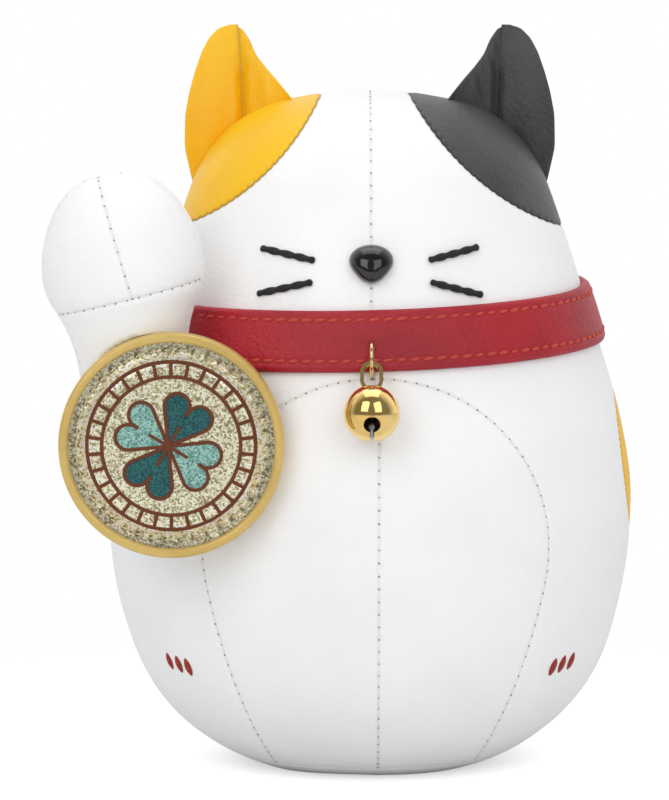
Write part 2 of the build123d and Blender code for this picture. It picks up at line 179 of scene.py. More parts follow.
def thread(name, tint, deep, twist=2600.0, rough=0.55):
    """Twisted sewing thread with fine plies."""
    made, tree, shader, place = material(name)
    plies = add(tree, "ShaderNodeTexWave", {"Vector": place, "Scale": twist, "Distortion": 2.0},
                bands_direction="DIAGONAL").outputs[0]
    paint(tree, shader, plies, (0.15, deep), (0.7, tint))
    emboss(tree, shader, plies, 0.5, 0.0002)
    shader.inputs["Roughness"].default_value = rough
    return made


def glitter(name, bright, middle, deep, size=2300.0, metal=0.75):
    """Glitter leather: tiny flakes that each lean their own way and catch the light."""
    made, tree, shader, place = material(name)
    flakes = add(tree, "ShaderNodeTexVoronoi", {"Vector": place, "Scale": size, "Randomness": 1.0})
    apart = add(tree, "ShaderNodeSeparateColor", {0: flakes.outputs["Color"]})
    tint = shades(tree, apart.outputs[0], (0.12, deep), (0.45, middle), (0.8, bright))
    # Painted shade in the stitch holes that a skin's seam attribute marks.
    paint_seam_shade(tree, shader, tint, [c * 0.3 for c in deep[:3]])
    shader.inputs["Metallic"].default_value = metal
    roughen(tree, shader, apart.outputs[1], 0.22, 0.6)
    emboss(tree, shader, apart.outputs[2], 0.55, 0.00025)
    return made


def metal(name, tint, deep, rough):
    """Polished metal with faint polishing marks and slight tarnish."""
    made, tree, shader, place = material(name)
    paint(tree, shader, clouds(tree, place, 160.0, 4.0), (0.3, deep), (0.6, tint))
    shader.inputs["Metallic"].default_value = 1.0
    marks = clouds(tree, place, 1800.0)
    roughen(tree, shader, marks, rough, rough + 0.08)
    emboss(tree, shader, marks, 0.03, 0.0001)
    return made


def paint_ring_light(made, middle, bands):
    """Paint light and shade into a finish in rings about a middle; each band is a radius and a strength of painted
    light.
    """
    tree = made.node_tree
    shader = tree.nodes["Principled BSDF"]
    plain = shader.inputs["Base Color"].links[0].from_socket
    place = add(tree, "ShaderNodeTexCoord").outputs["Object"]
    flat = add(tree, "ShaderNodeVectorMath", {0: place, 1: tuple(middle * MM)}, operation="SUBTRACT")
    flat = add(tree, "ShaderNodeVectorMath", {0: flat.outputs[0], 1: (1, 0, 1)}, operation="MULTIPLY")
    far = add(tree, "ShaderNodeVectorMath", {0: flat.outputs[0]}, operation="LENGTH")
    share = add(tree, "ShaderNodeMapRange", {"Value": far.outputs["Value"], "From Max": 0.03})
    light_share = shades(tree, share.outputs[0], *[(r / 30, (v / 2, v / 2, v / 2, 1)) for r, v in bands])
    times = {"data_type": "RGBA", "blend_type": "MULTIPLY"}
    lit = add(tree, "ShaderNodeMix", {0: 1.0, 6: plain, 7: light_share}, **times)
    twice = add(tree, "ShaderNodeMix", {0: 1.0, 6: lit.outputs[2], 7: (2, 2, 2, 1)}, **times)
    twice.clamp_result = True
    tree.links.new(twice.outputs[2], shader.inputs["Base Color"])


WHITE = leather("white_leather", colour(248, 247, 246), colour(243, 243, 243), 0.5, 1100.0, 0.22)
YELLOW = leather("yellow_leather", colour(250, 194, 2), colour(244, 184, 0), 0.42, 900.0, 0.22)
GREY = leather("grey_leather", colour(70, 70, 71), colour(56, 56, 57), 0.45, 900.0, 0.35)
RED = leather("red_leather", colour(180, 17, 36), colour(152, 10, 28), 0.46, 1300.0, 0.45)
GOLD = leather("gold_leather", colour(222, 190, 112), colour(206, 172, 96), 0.34, 1000.0, 0.15)
GOLD.node_tree.nodes["Principled BSDF"].inputs["Metallic"].default_value = 0.35
CHAMPAGNE = glitter("glitter_leather", colour(250, 244, 216), colour(214, 203, 168), colour(146, 136, 100), 2200.0)
DARK_LEAF = glitter("dark_teal_glitter", colour(46, 112, 110), colour(30, 88, 90), colour(18, 64, 70), 3000.0, 0.3)
LIGHT_LEAF = glitter("light_teal_glitter", colour(168, 208, 196), colour(128, 178, 166), colour(84, 134, 126),
                     2600.0, 0.3)
BROWN = thread("brown_thread", colour(128, 62, 22), colour(92, 43, 15))
BLACK = thread("black_thread", colour(34, 34, 36), colour(8, 8, 9), 1500.0)
TWINE = thread("coin_thread", colour(230, 218, 182), colour(198, 180, 132))
TOE = thread("toe_thread", colour(190, 58, 36), colour(120, 26, 18))
ORANGE = thread("collar_thread", colour(226, 84, 62), colour(176, 44, 36))
# The seam thread's grey is partly its own off-white colour and partly painted shade of the stitch holes it sits in.
SHADE = thread("seam_thread", colour(176, 176, 180), colour(112, 112, 118))
BRASS = metal("bell_brass", colour(250, 216, 142), colour(240, 198, 112), 0.05)
WIRE = metal("ring_wire", colour(238, 214, 160), colour(214, 186, 128), 0.12)
STEEL = metal("pellet_steel", colour(178, 178, 180), colour(150, 150, 152), 0.25)


# ---------------------------------------------------------------- geometry node helpers
def node_tree(name, sockets):
    """A geometry tree with named inputs. Sockets are (label, type, value)."""
    tree = bpy.data.node_groups.new(name, "GeometryNodeTree")
    face = tree.interface
    face.new_socket("Path", in_out="INPUT", socket_type="NodeSocketGeometry")
    for label, kind, value in sockets:
        socket = face.new_socket(label, in_out="INPUT", socket_type=f"NodeSocket{kind}")
        if value is not None:
            socket.default_value = value
    face.new_socket("Geometry", in_out="OUTPUT", socket_type="NodeSocketGeometry")
    given = tree.nodes.new("NodeGroupInput").outputs
    return tree, given


def close_tree(tree, geometry, finish):
    """Realize the copies, set their material, and end the tree."""
    real = add(tree, "GeometryNodeRealizeInstances", {"Geometry": geometry}).outputs[0]
    soft = add(tree, "GeometryNodeSetShadeSmooth", {"Geometry": real}).outputs[0]
    done = add(tree, "GeometryNodeSetMaterial", {"Geometry": soft, "Material": finish}).outputs[0]
    last = tree.nodes.new("NodeGroupOutput")
    tree.links.new(done, last.inputs["Geometry"])


def grown(name, path, tree, **values):
    """Run a tree on a path mesh and keep the result as a plain object."""
    holder = bpy.data.objects.new(name, path)
    bpy.context.collection.objects.link(holder)
    modifier = holder.modifiers.new("tree", "NODES")
    modifier.node_group = tree
    for item in tree.interface.items_tree:
        key = item.name.replace(" ", "_").lower()
        if item.in_out == "INPUT" and key in values:
            modifier[item.identifier] = values[key]
    seen = holder.evaluated_get(bpy.context.evaluated_depsgraph_get())
    plain = bpy.data.meshes.new_from_object(seen)
    holder.modifiers.remove(modifier)
    holder.data = plain
    plain.name = name
    return holder


def path_mesh(runs, ups):
    """Edges through the points of each run, with the outward direction kept at each point."""
    points = np.concatenate(runs) * MM
    edges = []
    first = 0
    for run in runs:
        edges += [(first + k, first + k + 1) for k in range(len(run) - 1)]
        first += len(run)
    mesh = bpy.data.meshes.new("path")
    mesh.from_pydata(points.tolist(), edges, [])
    up = mesh.attributes.new("up", "FLOAT_VECTOR", "POINT")
    up.data.foreach_set("vector", np.concatenate(ups).astype(np.float32).ravel())
    return mesh


def stitch_tree():
    """Rounded stitches at an even pitch along a path, turned to it and standing on the surface."""
    tree, given = node_tree("stitch_row", [
        ("Pitch", "Float", 0.003), ("Length", "Float", 0.002), ("Width", "Float", 0.0006), ("Rise", "Float", 0.0003),
        ("Slant", "Float", 0.0), ("Seed", "Int", 7), ("Material", "Material", None)])
    curve = add(tree, "GeometryNodeMeshToCurve", {"Mesh": given["Path"]}).outputs[0]
    spots = add(tree, "GeometryNodeCurveToPoints", {"Curve": curve, "Length": given["Pitch"]}, mode="LENGTH")
    up = add(tree, "GeometryNodeInputNamedAttribute", {"Name": "up"}, data_type="FLOAT_VECTOR").outputs[0]
    turn = add(tree, "FunctionNodeAxesToRotation", {"Primary Axis": up, "Secondary Axis": spots.outputs["Tangent"]},
               primary_axis="Z", secondary_axis="X")
    slant = add(tree, "FunctionNodeAxisAngleToRotation", {"Axis": (0, 0, 1), "Angle": given["Slant"]})
    turn = add(tree, "FunctionNodeRotateRotation", {"Rotation": turn.outputs[0], "Rotate By": slant.outputs[0]},
               rotation_space="LOCAL")
    bead = add(tree, "GeometryNodeMeshUVSphere", {"Segments": 8, "Rings": 6, "Radius": 0.5}).outputs[0]
    size = add(tree, "ShaderNodeCombineXYZ", {"X": given["Length"], "Y": given["Width"], "Z": given["Rise"]})
    bead = add(tree, "GeometryNodeTransform", {"Geometry": bead, "Scale": size.outputs[0]}).outputs[0]
    vary = add(tree, "FunctionNodeRandomValue", {2: 0.85, 3: 1.15, "Seed": given["Seed"]}, data_type="FLOAT")
    rows = add(tree, "GeometryNodeInstanceOnPoints", {
        "Points": spots.outputs["Points"], "Instance": bead, "Rotation": turn.outputs[0], "Scale": vary.outputs[1]})
    close_tree(tree, rows.outputs[0], given["Material"])
    return tree


def turned_tree():
    """An outline turned about Z and pressed along Y: the egg, the arm and the tail are made this way."""
    tree, given = node_tree("turned_skin", [
        ("Around", "Int", 64), ("Along", "Int", 64), ("Press", "Float", 1.0), ("Material", "Material", None)])
    curve = add(tree, "GeometryNodeMeshToCurve", {"Mesh": given["Path"]}).outputs[0]
    grid = add(tree, "GeometryNodeMeshGrid", {
        "Size X": 1.0, "Size Y": 1.0, "Vertices X": given["Around"], "Vertices Y": given["Along"]}).outputs[0]

    def sum_up(operation, *values):
        return add(tree, "ShaderNodeMath", dict(enumerate(values)), operation=operation).outputs[0]

    spot = add(tree, "ShaderNodeSeparateXYZ", {0: add(tree, "GeometryNodeInputPosition").outputs[0]})
    along = sum_up("ADD", 0.5, spot.outputs["Y"])
    angle = sum_up("MULTIPLY", spot.outputs["X"], 2 * pi)
    sample = add(tree, "GeometryNodeSampleCurve", {"Curves": curve, "Factor": along}, mode="FACTOR")
    half = add(tree, "ShaderNodeSeparateXYZ", {0: sample.outputs["Position"]})
    x = sum_up("MULTIPLY", half.outputs["X"], sum_up("SINE", angle))
    y = sum_up("MULTIPLY", half.outputs["X"], sum_up("COSINE", angle))
    y = sum_up("MULTIPLY", sum_up("MULTIPLY", y, given["Press"]), -1.0)
    place = add(tree, "ShaderNodeCombineXYZ", {"X": x, "Y": y, "Z": half.outputs["Z"]}).outputs[0]
    moved = add(tree, "GeometryNodeSetPosition", {"Geometry": grid, "Position": place}).outputs[0]
    joined = add(tree, "GeometryNodeMergeByDistance", {"Geometry": moved, "Distance": 1e-6}).outputs[0]
    close_tree(tree, joined, given["Material"])
    return tree


STITCHES = stitch_tree()
TURNED = turned_tree()


def keep(piece, node, finish, body="body"):
    """Give a finished piece its finish and body, and hide the imported nodes it takes the place of."""
    if finish is not None:
        piece.data.materials.clear()
        piece.data.materials.append(finish)
    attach(piece, body)
    if node:
        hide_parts(*([node] if isinstance(node, str) else node))
    return piece


def plain_mesh(name, points, faces, seam=None):
    """An object from points in millimetres and faces, shaded smooth."""
    mesh = bpy.data.meshes.new(name)
    mesh.from_pydata((np.asarray(points) * MM).tolist(), [], faces.tolist() if hasattr(faces, "tolist") else faces)
    if seam is not None:
        mesh.attributes.new("seam", "FLOAT", "POINT").data.foreach_set("value", np.asarray(seam, dtype=np.float32))
    mesh.shade_smooth()
    thing = bpy.data.objects.new(name, mesh)
    bpy.context.collection.objects.link(thing)
    return thing


def bands(rows, count, first=0):
    """Faces between rows of points that each close on themselves."""
    return [(first + j * count + i, first + j * count + (i + 1) % count,
             first + (j + 1) * count + (i + 1) % count, first + (j + 1) * count + i)
            for j in range(rows - 1) for i in range(count)]


def capped(rows, count):
    """The same, closed by a middle point that comes last."""
    last = (rows - 1) * count
    return bands(rows, count) + [(last + i, last + (i + 1) % count, rows * count) for i in range(count)]


# ---------------------------------------------------------------- turned forms
def arc_run(ends, step):
    """Points about step apart along arcs through the ends, each running smoothly into the next."""
    heading = np.array([1.0, 0.0])
    run = []
    for a, b in zip(ends[:-1], ends[1:]):
        a, chord = np.array(a, float), np.array(b, float) - np.array(a, float)
        side = np.array([-heading[1], heading[0]])
        bend = 2 * chord @ side / (chord @ chord)
        turn = 2 * atan2(chord @ side, chord @ heading)
        length = turn / bend if abs(bend) > 1e-9 else hypot(*chord)
        for share in np.arange(ceil(length / step)) / ceil(length / step):
            angle = turn * share
            run.append(a + heading * sin(angle) / bend + side * (1 - cos(angle)) / bend)
        heading = heading * cos(turn) + side * sin(turn)
    run.append(np.array(ends[-1], float))
    return np.array(run)


class Form:
    """A turned form in its own place: outline of radius and height, pressed along Y."""

    def __init__(self, outline, foot=(0, 0, 0), tip=(0, 0, 1), press=FLAT):
        self.outline = outline
        self.press = press
        self.foot = np.array(foot, float) / (1, press, 1)
        axis = np.array(tip, float) / (1, press, 1) - self.foot
        axis /= np.linalg.norm(axis)
        side = np.cross((0, 1.0, 0), axis)
        side /= np.linalg.norm(side)
        self.turn = np.array([side, np.cross(axis, side), axis])
        self.middle = (outline[:, 1].max() + outline[:, 1].min()) / 2
        angle = np.arctan2(outline[:, 0], outline[:, 1] - self.middle)
        self.angle = np.maximum.accumulate(angle + np.arange(len(angle)) * 1e-9)
        step = np.gradient(outline, axis=0)
        self.normal = np.stack([-step[:, 1], step[:, 0]], axis=1)
        self.normal /= np.linalg.norm(self.normal, axis=1)[:, None]
        self.run = np.concatenate([[0], np.cumsum(np.hypot(*np.diff(outline, axis=0).T))])

    def local(self, points):
        return (points / (1, self.press, 1) - self.foot) @ self.turn.T

    def at(self, points):
        """Each point moved onto the skin, with its outward normal, run along the outline and depth under it."""
        here = self.local(points)
        radius = np.hypot(here[:, 0], here[:, 1])
        angle = np.arctan2(radius, here[:, 2] - self.middle)
        r = np.interp(angle, self.angle, self.outline[:, 0])
        z = np.interp(angle, self.angle, self.outline[:, 1])
        nr = np.interp(angle, self.angle, self.normal[:, 0])
        nz = np.interp(angle, self.angle, self.normal[:, 1])
        around = here[:, :2] / np.maximum(radius, 1e-9)[:, None]
        spot = np.stack([around[:, 0] * r, around[:, 1] * r, z], axis=1) @ self.turn + self.foot
        normal = np.stack([around[:, 0] * nr, around[:, 1] * nr, nz], axis=1) @ self.turn / (1, self.press, 1)
        normal /= np.linalg.norm(normal, axis=1)[:, None]
        depth = np.hypot(radius, here[:, 2] - self.middle) - np.hypot(r, z - self.middle)
        return spot * (1, self.press, 1), normal, np.interp(angle, self.angle, self.run), depth

    def skin(self, name, cell):
        """Points and triangles of the skin in cells of about the given size."""
        around = int(2 * pi * self.outline[:, 0].max() / cell)
        along = int(self.run[-1] / cell)
        flat = np.stack([self.outline[:, 0], 0 * self.outline[:, 0], self.outline[:, 1]], axis=1)
        path = path_mesh([flat], [flat * 0])
        made = grown(name, path, TURNED, around=around + 1, along=along + 1, press=1.0)
        mesh = made.data
        mesh.calc_loop_triangles()
        points = np.empty(len(mesh.vertices) * 3, dtype=np.float32)
        mesh.vertices.foreach_get("co", points)
        tris = np.empty(len(mesh.loop_triangles) * 3, dtype=np.int32)
        mesh.loop_triangles.foreach_get("vertices", tris)
        bpy.data.objects.remove(made)
        points = points.reshape(-1, 3).astype(float) / MM
        points = (points @ self.turn + self.foot) * (1, self.press, 1)
        tris = tris.reshape(-1, 3).astype(np.int64)
        centre = points[tris].mean(axis=1)
        lean = np.cross(points[tris[:, 1]] - points[tris[:, 0]], points[tris[:, 2]] - points[tris[:, 0]])
        inside = (lean * self.at(centre)[1]).sum(axis=1) < 0
        tris[inside] = tris[inside][:, ::-1]
        return points, tris


def divide(points, tris, cut):
    """Split the edges that cut gives a share for, and rebuild the triangles around them."""
    ends = np.sort(np.concatenate([tris[:, [0, 1]], tris[:, [1, 2]], tris[:, [2, 0]]]), axis=1)
    key, back = np.unique(ends[:, 0] * len(points) + ends[:, 1], return_inverse=True)
    edge = np.stack([key // len(points), key % len(points)], axis=1)
    share = cut(points, edge)
    hit = ~np.isnan(share)
    number = np.full(len(edge), -1)
    number[hit] = len(points) + np.arange(hit.sum())
    near, far, part = points[edge[hit, 0]], points[edge[hit, 1]], share[hit][:, None]
    points = np.concatenate([points, near * (1 - part) + far * part])
    middle = number[back].reshape(3, -1).T
    count = (middle >= 0).sum(axis=1)
    kept = [tris[count == 0]]
    for k in range(3):
        t, m = np.roll(tris, -k, axis=1), np.roll(middle, -k, axis=1)
        pick = (count == 1) & (m[:, 0] >= 0)
        a, b, c, ab = t[pick, 0], t[pick, 1], t[pick, 2], m[pick, 0]
        kept += [np.stack([a, ab, c], axis=1), np.stack([ab, b, c], axis=1)]
        pick = (count == 2) & (m[:, 2] < 0)
        a, b, c, ab, bc = t[pick, 0], t[pick, 1], t[pick, 2], m[pick, 0], m[pick, 1]
        kept.append(np.stack([ab, b, bc], axis=1))
        short = np.linalg.norm(points[a] - points[bc], axis=1) < np.linalg.norm(points[ab] - points[c], axis=1)
        kept += [np.stack([a, ab, bc], axis=1)[short], np.stack([a, bc, c], axis=1)[short]]
        kept += [np.stack([a, ab, c], axis=1)[~short], np.stack([ab, bc, c], axis=1)[~short]]
    pick = count == 3
    a, b, c = tris[pick].T
    ab, bc, ca = middle[pick].T
    kept += [np.stack(t, axis=1) for t in ((a, ab, ca), (ab, b, bc), (bc, c, ca), (ab, bc, ca))]
    return points, np.concatenate(kept)


def refine(points, tris, distance, reach, longest):
    """Halve the long edges near a seam."""
    def cut(points, edge):
        d = np.abs(distance(points))
        long = np.linalg.norm(points[edge[:, 0]] - points[edge[:, 1]], axis=1) > longest
        return np.where(long & (d[edge[:, 0]] < reach) & (d[edge[:, 1]] < reach), 0.5, np.nan)
    return divide(points, tris, cut)


def score(points, tris, distance, level=0.0):
    """Lay an edge exactly along a seam, or at a distance beside it."""
    def cut(points, edge):
        d = distance(points) - level
        d[np.abs(d) < 0.03] = 0
        a, b = d[edge[:, 0]], d[edge[:, 1]]
        return np.where(a * b < 0, a / np.where(a == b, 1, a - b), np.nan)
    return divide(points, tris, cut)


def part_of(name, points, tris, seam):
    """A piece from some of the triangles."""
    used, back = np.unique(tris, return_inverse=True)
    return plain_mesh(name, points[used], back.reshape(tris.shape), seam[used])


# ---------------------------------------------------------------- the egg and its seams
# Each function named gap gives every point's distance from a seam, negative on one side of it. The skin is
# cut along its zero line, and the panels on both sides share the points that lie on it.
egg_line = arc_run([(u * HALF_WIDTH, v * HEIGHT) for u, v in EGG_ENDS] + [(FOOT, 0)], 0.8)
EGG = Form(np.concatenate([egg_line, [(r, 0) for r in np.linspace(FOOT - 1, 0, 28)]]))


def width_at(z):
    """Half the body's width at a height, below its crown."""
    return np.interp(-z, -egg_line[:, 1], egg_line[:, 0])


def front_skin(x, z):
    """Points of the egg's front at the given places across and up, with their normals."""
    y = -width_at(z) * FLAT * np.sqrt(np.maximum(1 - (x / width_at(z)) ** 2, 0))
    return EGG.at(np.stack([x, y, z], axis=1))[:2]


def smooth(x):
    x = np.clip(x, 0, 1)
    return x * x * (3 - 2 * x)


def on_skin(points, value, slope):
    """A distance through space turned into one along the skin."""
    lift = (slope * EGG.at(points)[1]).sum(axis=1)
    return value / np.sqrt(np.maximum(1 - lift**2, 0.08))


def middle_gap(p):
    shift = 1.9 * smooth((110 - p[:, 2]) / 12) * smooth(-p[:, 1] / 18)
    return p[:, 0] - shift


def side_gap(p):
    return on_skin(p, p[:, 1] - SIDE_SEAM, np.array([0, 1.0, 0]))


def base_gap(p):
    return on_skin(p, p[:, 2] - BASE_SEAM, np.array([0, 0, 1.0]))


ARCH_TOP, ARCH_HALF, ARCH_MIDDLE, ARCH_FOOT, ARCH_SHIFT = 105.5, 43.0, 53.0, 24.0, 1.2
arch_radius = (ARCH_HALF**2 + (ARCH_TOP - ARCH_MIDDLE) ** 2) / 2 / (ARCH_TOP - ARCH_MIDDLE)
arch_centre = ARCH_TOP - arch_radius
heading = np.array([ARCH_MIDDLE - arch_centre, -ARCH_HALF]) / arch_radius
chord = np.array([ARCH_FOOT - ARCH_HALF, -ARCH_MIDDLE])
arch_bend = 2 * (chord @ (-heading[1], heading[0])) / (chord @ chord)
lower_centre = np.array([ARCH_HALF - heading[1] / arch_bend, ARCH_MIDDLE + heading[0] / arch_bend])


def arch_gap(p):
    x, z = np.abs(p[:, 0] - ARCH_SHIFT), p[:, 2]
    upper = np.hypot(x, z - arch_centre) - arch_radius
    lower = np.hypot(x - lower_centre[0], z - lower_centre[1]) - 1 / abs(arch_bend)
    high = z > ARCH_MIDDLE
    out = np.stack([np.where(high, x, x - lower_centre[0]) * np.sign(p[:, 0] - ARCH_SHIFT), 0 * x,
                    np.where(high, z - arch_centre, z - lower_centre[1])], axis=1)
    out /= np.linalg.norm(out, axis=1)[:, None] + 1e-9
    return on_skin(p, np.where(high, upper, lower), out)


def arch_run(p):
    x, z = p[:, 0] - ARCH_SHIFT, p[:, 2]
    turn = np.arctan2(x, z - arch_centre) * arch_radius
    end = arch_radius * atan2(ARCH_HALF, ARCH_MIDDLE - arch_centre)
    return np.where(z > ARCH_MIDDLE, turn, np.sign(x) * (end + (ARCH_MIDDLE - z) * 1.06))


PATCH_LOW = node_box("patch_left")[0][2]
PATCH_BULGE = 4.9
SCALLOP = 2.15


def patch_drum(side):
    """Centre and radius of the drum whose rim is the patch's lower edge."""
    reach = abs(node_box("patch_left")[0][0] if side > 0 else node_box("patch_right")[1][0])
    above = egg_line[egg_line[:, 1] > PATCH_LOW]
    top = np.array([side * reach, np.interp(reach, above[:, 0], above[:, 1])])
    low = np.array([side * width_at(PATCH_LOW), PATCH_LOW])
    run = low - top
    radius = run @ run / (8 * PATCH_BULGE) + PATCH_BULGE / 2
    inward = np.array([-side * abs(run[1]), -abs(run[0])]) / hypot(*run)
    return (top + low) / 2 - inward * (radius - PATCH_BULGE), radius


def patch_run(p, side):
    centre, radius = patch_drum(side)
    return radius * np.arctan2(p[:, 0] - centre[0], centre[1] - p[:, 2])


def patch_gap(p, side):
    centre, radius = patch_drum(side)
    out = np.stack([p[:, 0] - centre[0], 0 * p[:, 0], p[:, 2] - centre[1]], axis=1)
    away = np.linalg.norm(out, axis=1)
    wave = 0.3 * np.abs(np.sin(pi * patch_run(p, side) / SCALLOP))
    return on_skin(p, away - radius - wave, out / away[:, None])


flank_box = node_box("flank_patch")
FLANK_Z = (flank_box[0][2] + flank_box[1][2]) / 2
FLANK_RADIUS = (flank_box[1][2] - flank_box[0][2]) / 2


def flank_gap(p):
    turn = radians(3)
    across = p[:, 1] / FLAT * cos(turn) - p[:, 0] * sin(turn)
    away = np.hypot(across, p[:, 2] - FLANK_Z)
    wave = 0.3 * np.abs(np.sin(pi * FLANK_RADIUS * np.arctan2(across, p[:, 2] - FLANK_Z) / SCALLOP))
    return np.where(p[:, 0] > 0, away - FLANK_RADIUS - wave, 50.0)


def where_on_egg(p):
    """Which panel each point belongs to."""
    hand = np.where(middle_gap(p) < 0, 0, 1)
    part = 2 + hand  # front
    part = np.where(arch_gap(p) < 0, hand, part)
    part = np.where(p[:, 1] > SIDE_SEAM, 4 + hand, part)
    part = np.where(flank_gap(p) < 0, 6, part)
    part = np.where(p[:, 2] < BASE_SEAM, 7, part)
    part = np.where(patch_gap(p, -1) < 0, 8, part)
    return np.where(patch_gap(p, 1) < 0, 9, part)


points, tris = EGG.skin("egg", 0.95)
points = EGG.at(points)[0]
GAPS = [middle_gap, side_gap, base_gap, arch_gap, flank_gap, lambda p: patch_gap(p, -1), lambda p: patch_gap(p, 1)]
for gap in GAPS:
    points, tris = refine(points, tris, gap, 1.6, 0.7)
for gap in GAPS[4:]:
    points, tris = refine(points, tris, gap, 1.0, 0.35)
points = EGG.at(points)[0]
for gap in GAPS:
    points, tris = score(points, tris, gap)
points, normals, outline_run, _ = EGG.at(points)

part = where_on_egg(points[tris].mean(axis=1))
in_patch = np.minimum(patch_gap(points, -1), patch_gap(points, 1)) < -0.05
in_flank = flank_gap(points) < -0.05
above_base = points[:, 2] > BASE_SEAM - 0.05
front = points[:, 1] < SIDE_SEAM
FAR_OFF = 99.0
away = {
    "middle": np.where(above_base, np.abs(middle_gap(points)), FAR_OFF),
    "side": np.where(in_patch | in_flank | ~above_base, FAR_OFF, np.abs(side_gap(points))),
    "base": np.abs(base_gap(points)),
    "arch": np.where(front & above_base, np.abs(arch_gap(points)), FAR_OFF),
    "flank": np.abs(flank_gap(points)),
    "patch_right": np.abs(patch_gap(points, -1)),
    "patch_left": np.abs(patch_gap(points, 1)),
}
run_of = {
    "middle": outline_run,
    "side": outline_run,
    "base": 30 * np.arctan2(points[:, 0], -points[:, 1] / FLAT),
    "arch": arch_run(points),
    "flank": FLANK_RADIUS * np.arctan2(points[:, 1] / FLAT, points[:, 2] - FLANK_Z),
    "patch_right": patch_run(points, -1),
    "patch_left": patch_run(points, 1),
}
PITCH = {"middle": 3.3, "side": 3.3, "base": 3.0, "arch": 2.85, "flank": SCALLOP, "patch_right": SCALLOP,
         "patch_left": SCALLOP}
ARM_PITCH = 3.0
DROP, ROLL = 0.42, 1.3  # how deep and how wide a skin rolls down into a seam
PUCKER, PUCKER_REACH, PUCKER_MOST = 0.17, 1.1, 0.3
SEAM_SHADE_HALF = 0.4  # half the width of the painted shade line along a seam
STITCH_LIFT = 0.1


def sunk_at(nearest):
    """How far a skin sinks at a distance from its nearest seam: a quarter round."""
    return DROP * (1 - np.sqrt(np.maximum(1 - (1 - np.clip(nearest / ROLL, 0, 1)) ** 2, 0)))


def puckers(away, run_of, pitch):
    """Small dents between the stitches of all seams of a skin."""
    dents = sum(PUCKER * np.exp(-((d / PUCKER_REACH) ** 2)) * (0.5 + 0.5 * np.cos(2 * pi * run_of[name] / pitch[name]))
                for name, d in away.items())
    return np.minimum(dents, PUCKER_MOST)


# How strong the painted shade is at a distance from a seam.
def seam_shade_line(distance):
    return np.exp(-((distance / SEAM_SHADE_HALF) ** 2))


nearest = np.min(list(away.values()), axis=0)
slack = sum(np.sin(points @ np.array(k) + f) for k, f in (
    ((0.11, 0.05, 0.09), 0.3), ((-0.07, 0.1, 0.16), 1.7), ((0.19, -0.08, -0.05), 4.1)))
lift = -sunk_at(nearest) - puckers(away, run_of, PITCH) + 0.09 * slack * smooth(nearest / 12)
skin = points + normals * lift[:, None]
# Painted shade for the body's skins, kept in their seam attribute: faint in the seam grooves of the white panels, and
# strong as the painted shadow line along the scalloped edges of the patches.
light = np.minimum.reduce([away[k] for k in ("middle", "side", "base", "arch")])
dark = np.minimum.reduce([away[k] for k in ("flank", "patch_right", "patch_left")])
seam = np.maximum(0.13 * seam_shade_line(light), 0.85 * seam_shade_line(dark))

PIECES = [(node, "white_leather", WHITE) for node in PANELS] + [
    ("flank_patch", "yellow_leather", YELLOW), ("base_panel", "white_leather", WHITE),
    ("patch_right", "yellow_leather", YELLOW), ("patch_left", "grey_leather", GREY)]
for k, (node, slot, finish) in enumerate(PIECES):
    keep(part_of(f"{node}_skin", skin, tris[part == k], seam), node, finish)


def seam_path(name, pick=None):
    """The run of one seam over the finished skin, from end to end."""
    on = (away[name] < 0.04) & above_base
    on &= True if pick is None else pick
    spot = np.flatnonzero(on)
    spot = spot[np.argsort(run_of[name][spot])]
    spot = spot[np.concatenate([[True], np.diff(run_of[name][spot]) > 0.1])]
    return skin[spot] + normals[spot] * STITCH_LIFT, normals[spot]


def stitch_row(name, runs, finish, pitch, length, width, rise, slant=0.0, seed=7):
    """One piece with all stitches along the given runs."""
    path = path_mesh([run[0] for run in runs], [run[1] for run in runs])
    made = grown(name, path, STITCHES, pitch=pitch * MM, length=length * MM, width=width * MM, rise=rise * MM,
                 slant=slant, seed=seed, material=finish)
    return keep(made, None, None)


face_side = points[:, 1] < 0
back_side = points[:, 1] > 0
stitch_row("middle_stitches", [seam_path("middle", face_side), seam_path("middle", back_side)],
           SHADE, 3.3, 0.75, 0.42, 0.4, slant=1.2)
stitch_row("arch_stitches", [seam_path("arch")], SHADE, 2.85, 0.7, 0.5, 0.4, slant=1.2)
stitch_row("side_stitches", [seam_path("side", points[:, 0] < 0), seam_path("side", points[:, 0] > 0)],
           SHADE, 3.3, 0.7, 0.42, 0.4, slant=1.2)

# ---------------------------------------------------------------- raised arm
ARM_FOOT, ARM_TIP = np.array([-55.5, -45.0, 68.0]), np.array([-64.6, -47.0, 157.0])
PAW, PAW_CROWN, WRIST, SHOULDER, WRIST_Z = 20.3, 24.0, 14.0, 16.5, 125.2
arm_length = np.linalg.norm((ARM_TIP - ARM_FOOT) / (1, FLAT, 1))
widest = arm_length - PAW_CROWN
arm_line = arc_run([
    (0, arm_length), (PAW * 0.764, arm_length - PAW_CROWN * 0.358), (PAW, widest), (PAW * 0.897, widest - 9),
    (WRIST, widest - 22), (SHOULDER, SHOULDER * 1.2), (SHOULDER * 0.65, 0)], 0.7)
ARM = Form(np.concatenate([arm_line, [(r, 0) for r in np.linspace(SHOULDER * 0.6, 0, 8)]]), ARM_FOOT, ARM_TIP)
wrist = ARM_FOOT + (ARM_TIP - ARM_FOOT) * (WRIST_Z - ARM_FOOT[2]) / (ARM_TIP[2] - ARM_FOOT[2])
ARM_SEAM_Y = wrist[1] - 4.0 * FLAT
coin_low, coin_high = node_box("coin_rim")
COIN = (coin_low + coin_high) / 2
COIN_RADIUS = (coin_high[0] - coin_low[0]) / 2
COIN_BACK = coin_high[1]


def wrist_gap(p):
    return (p - wrist) @ np.array([-sin(radians(14)), 0, cos(radians(14))])


def paw_gap(p):
    return (p - wrist - (2.6, 0, 0)) @ np.array([cos(radians(17)), 0, sin(radians(17))])


def arm_side_gap(p):
    return p[:, 1] - ARM_SEAM_Y


def body_gap(p):
    return EGG.at(p)[3]


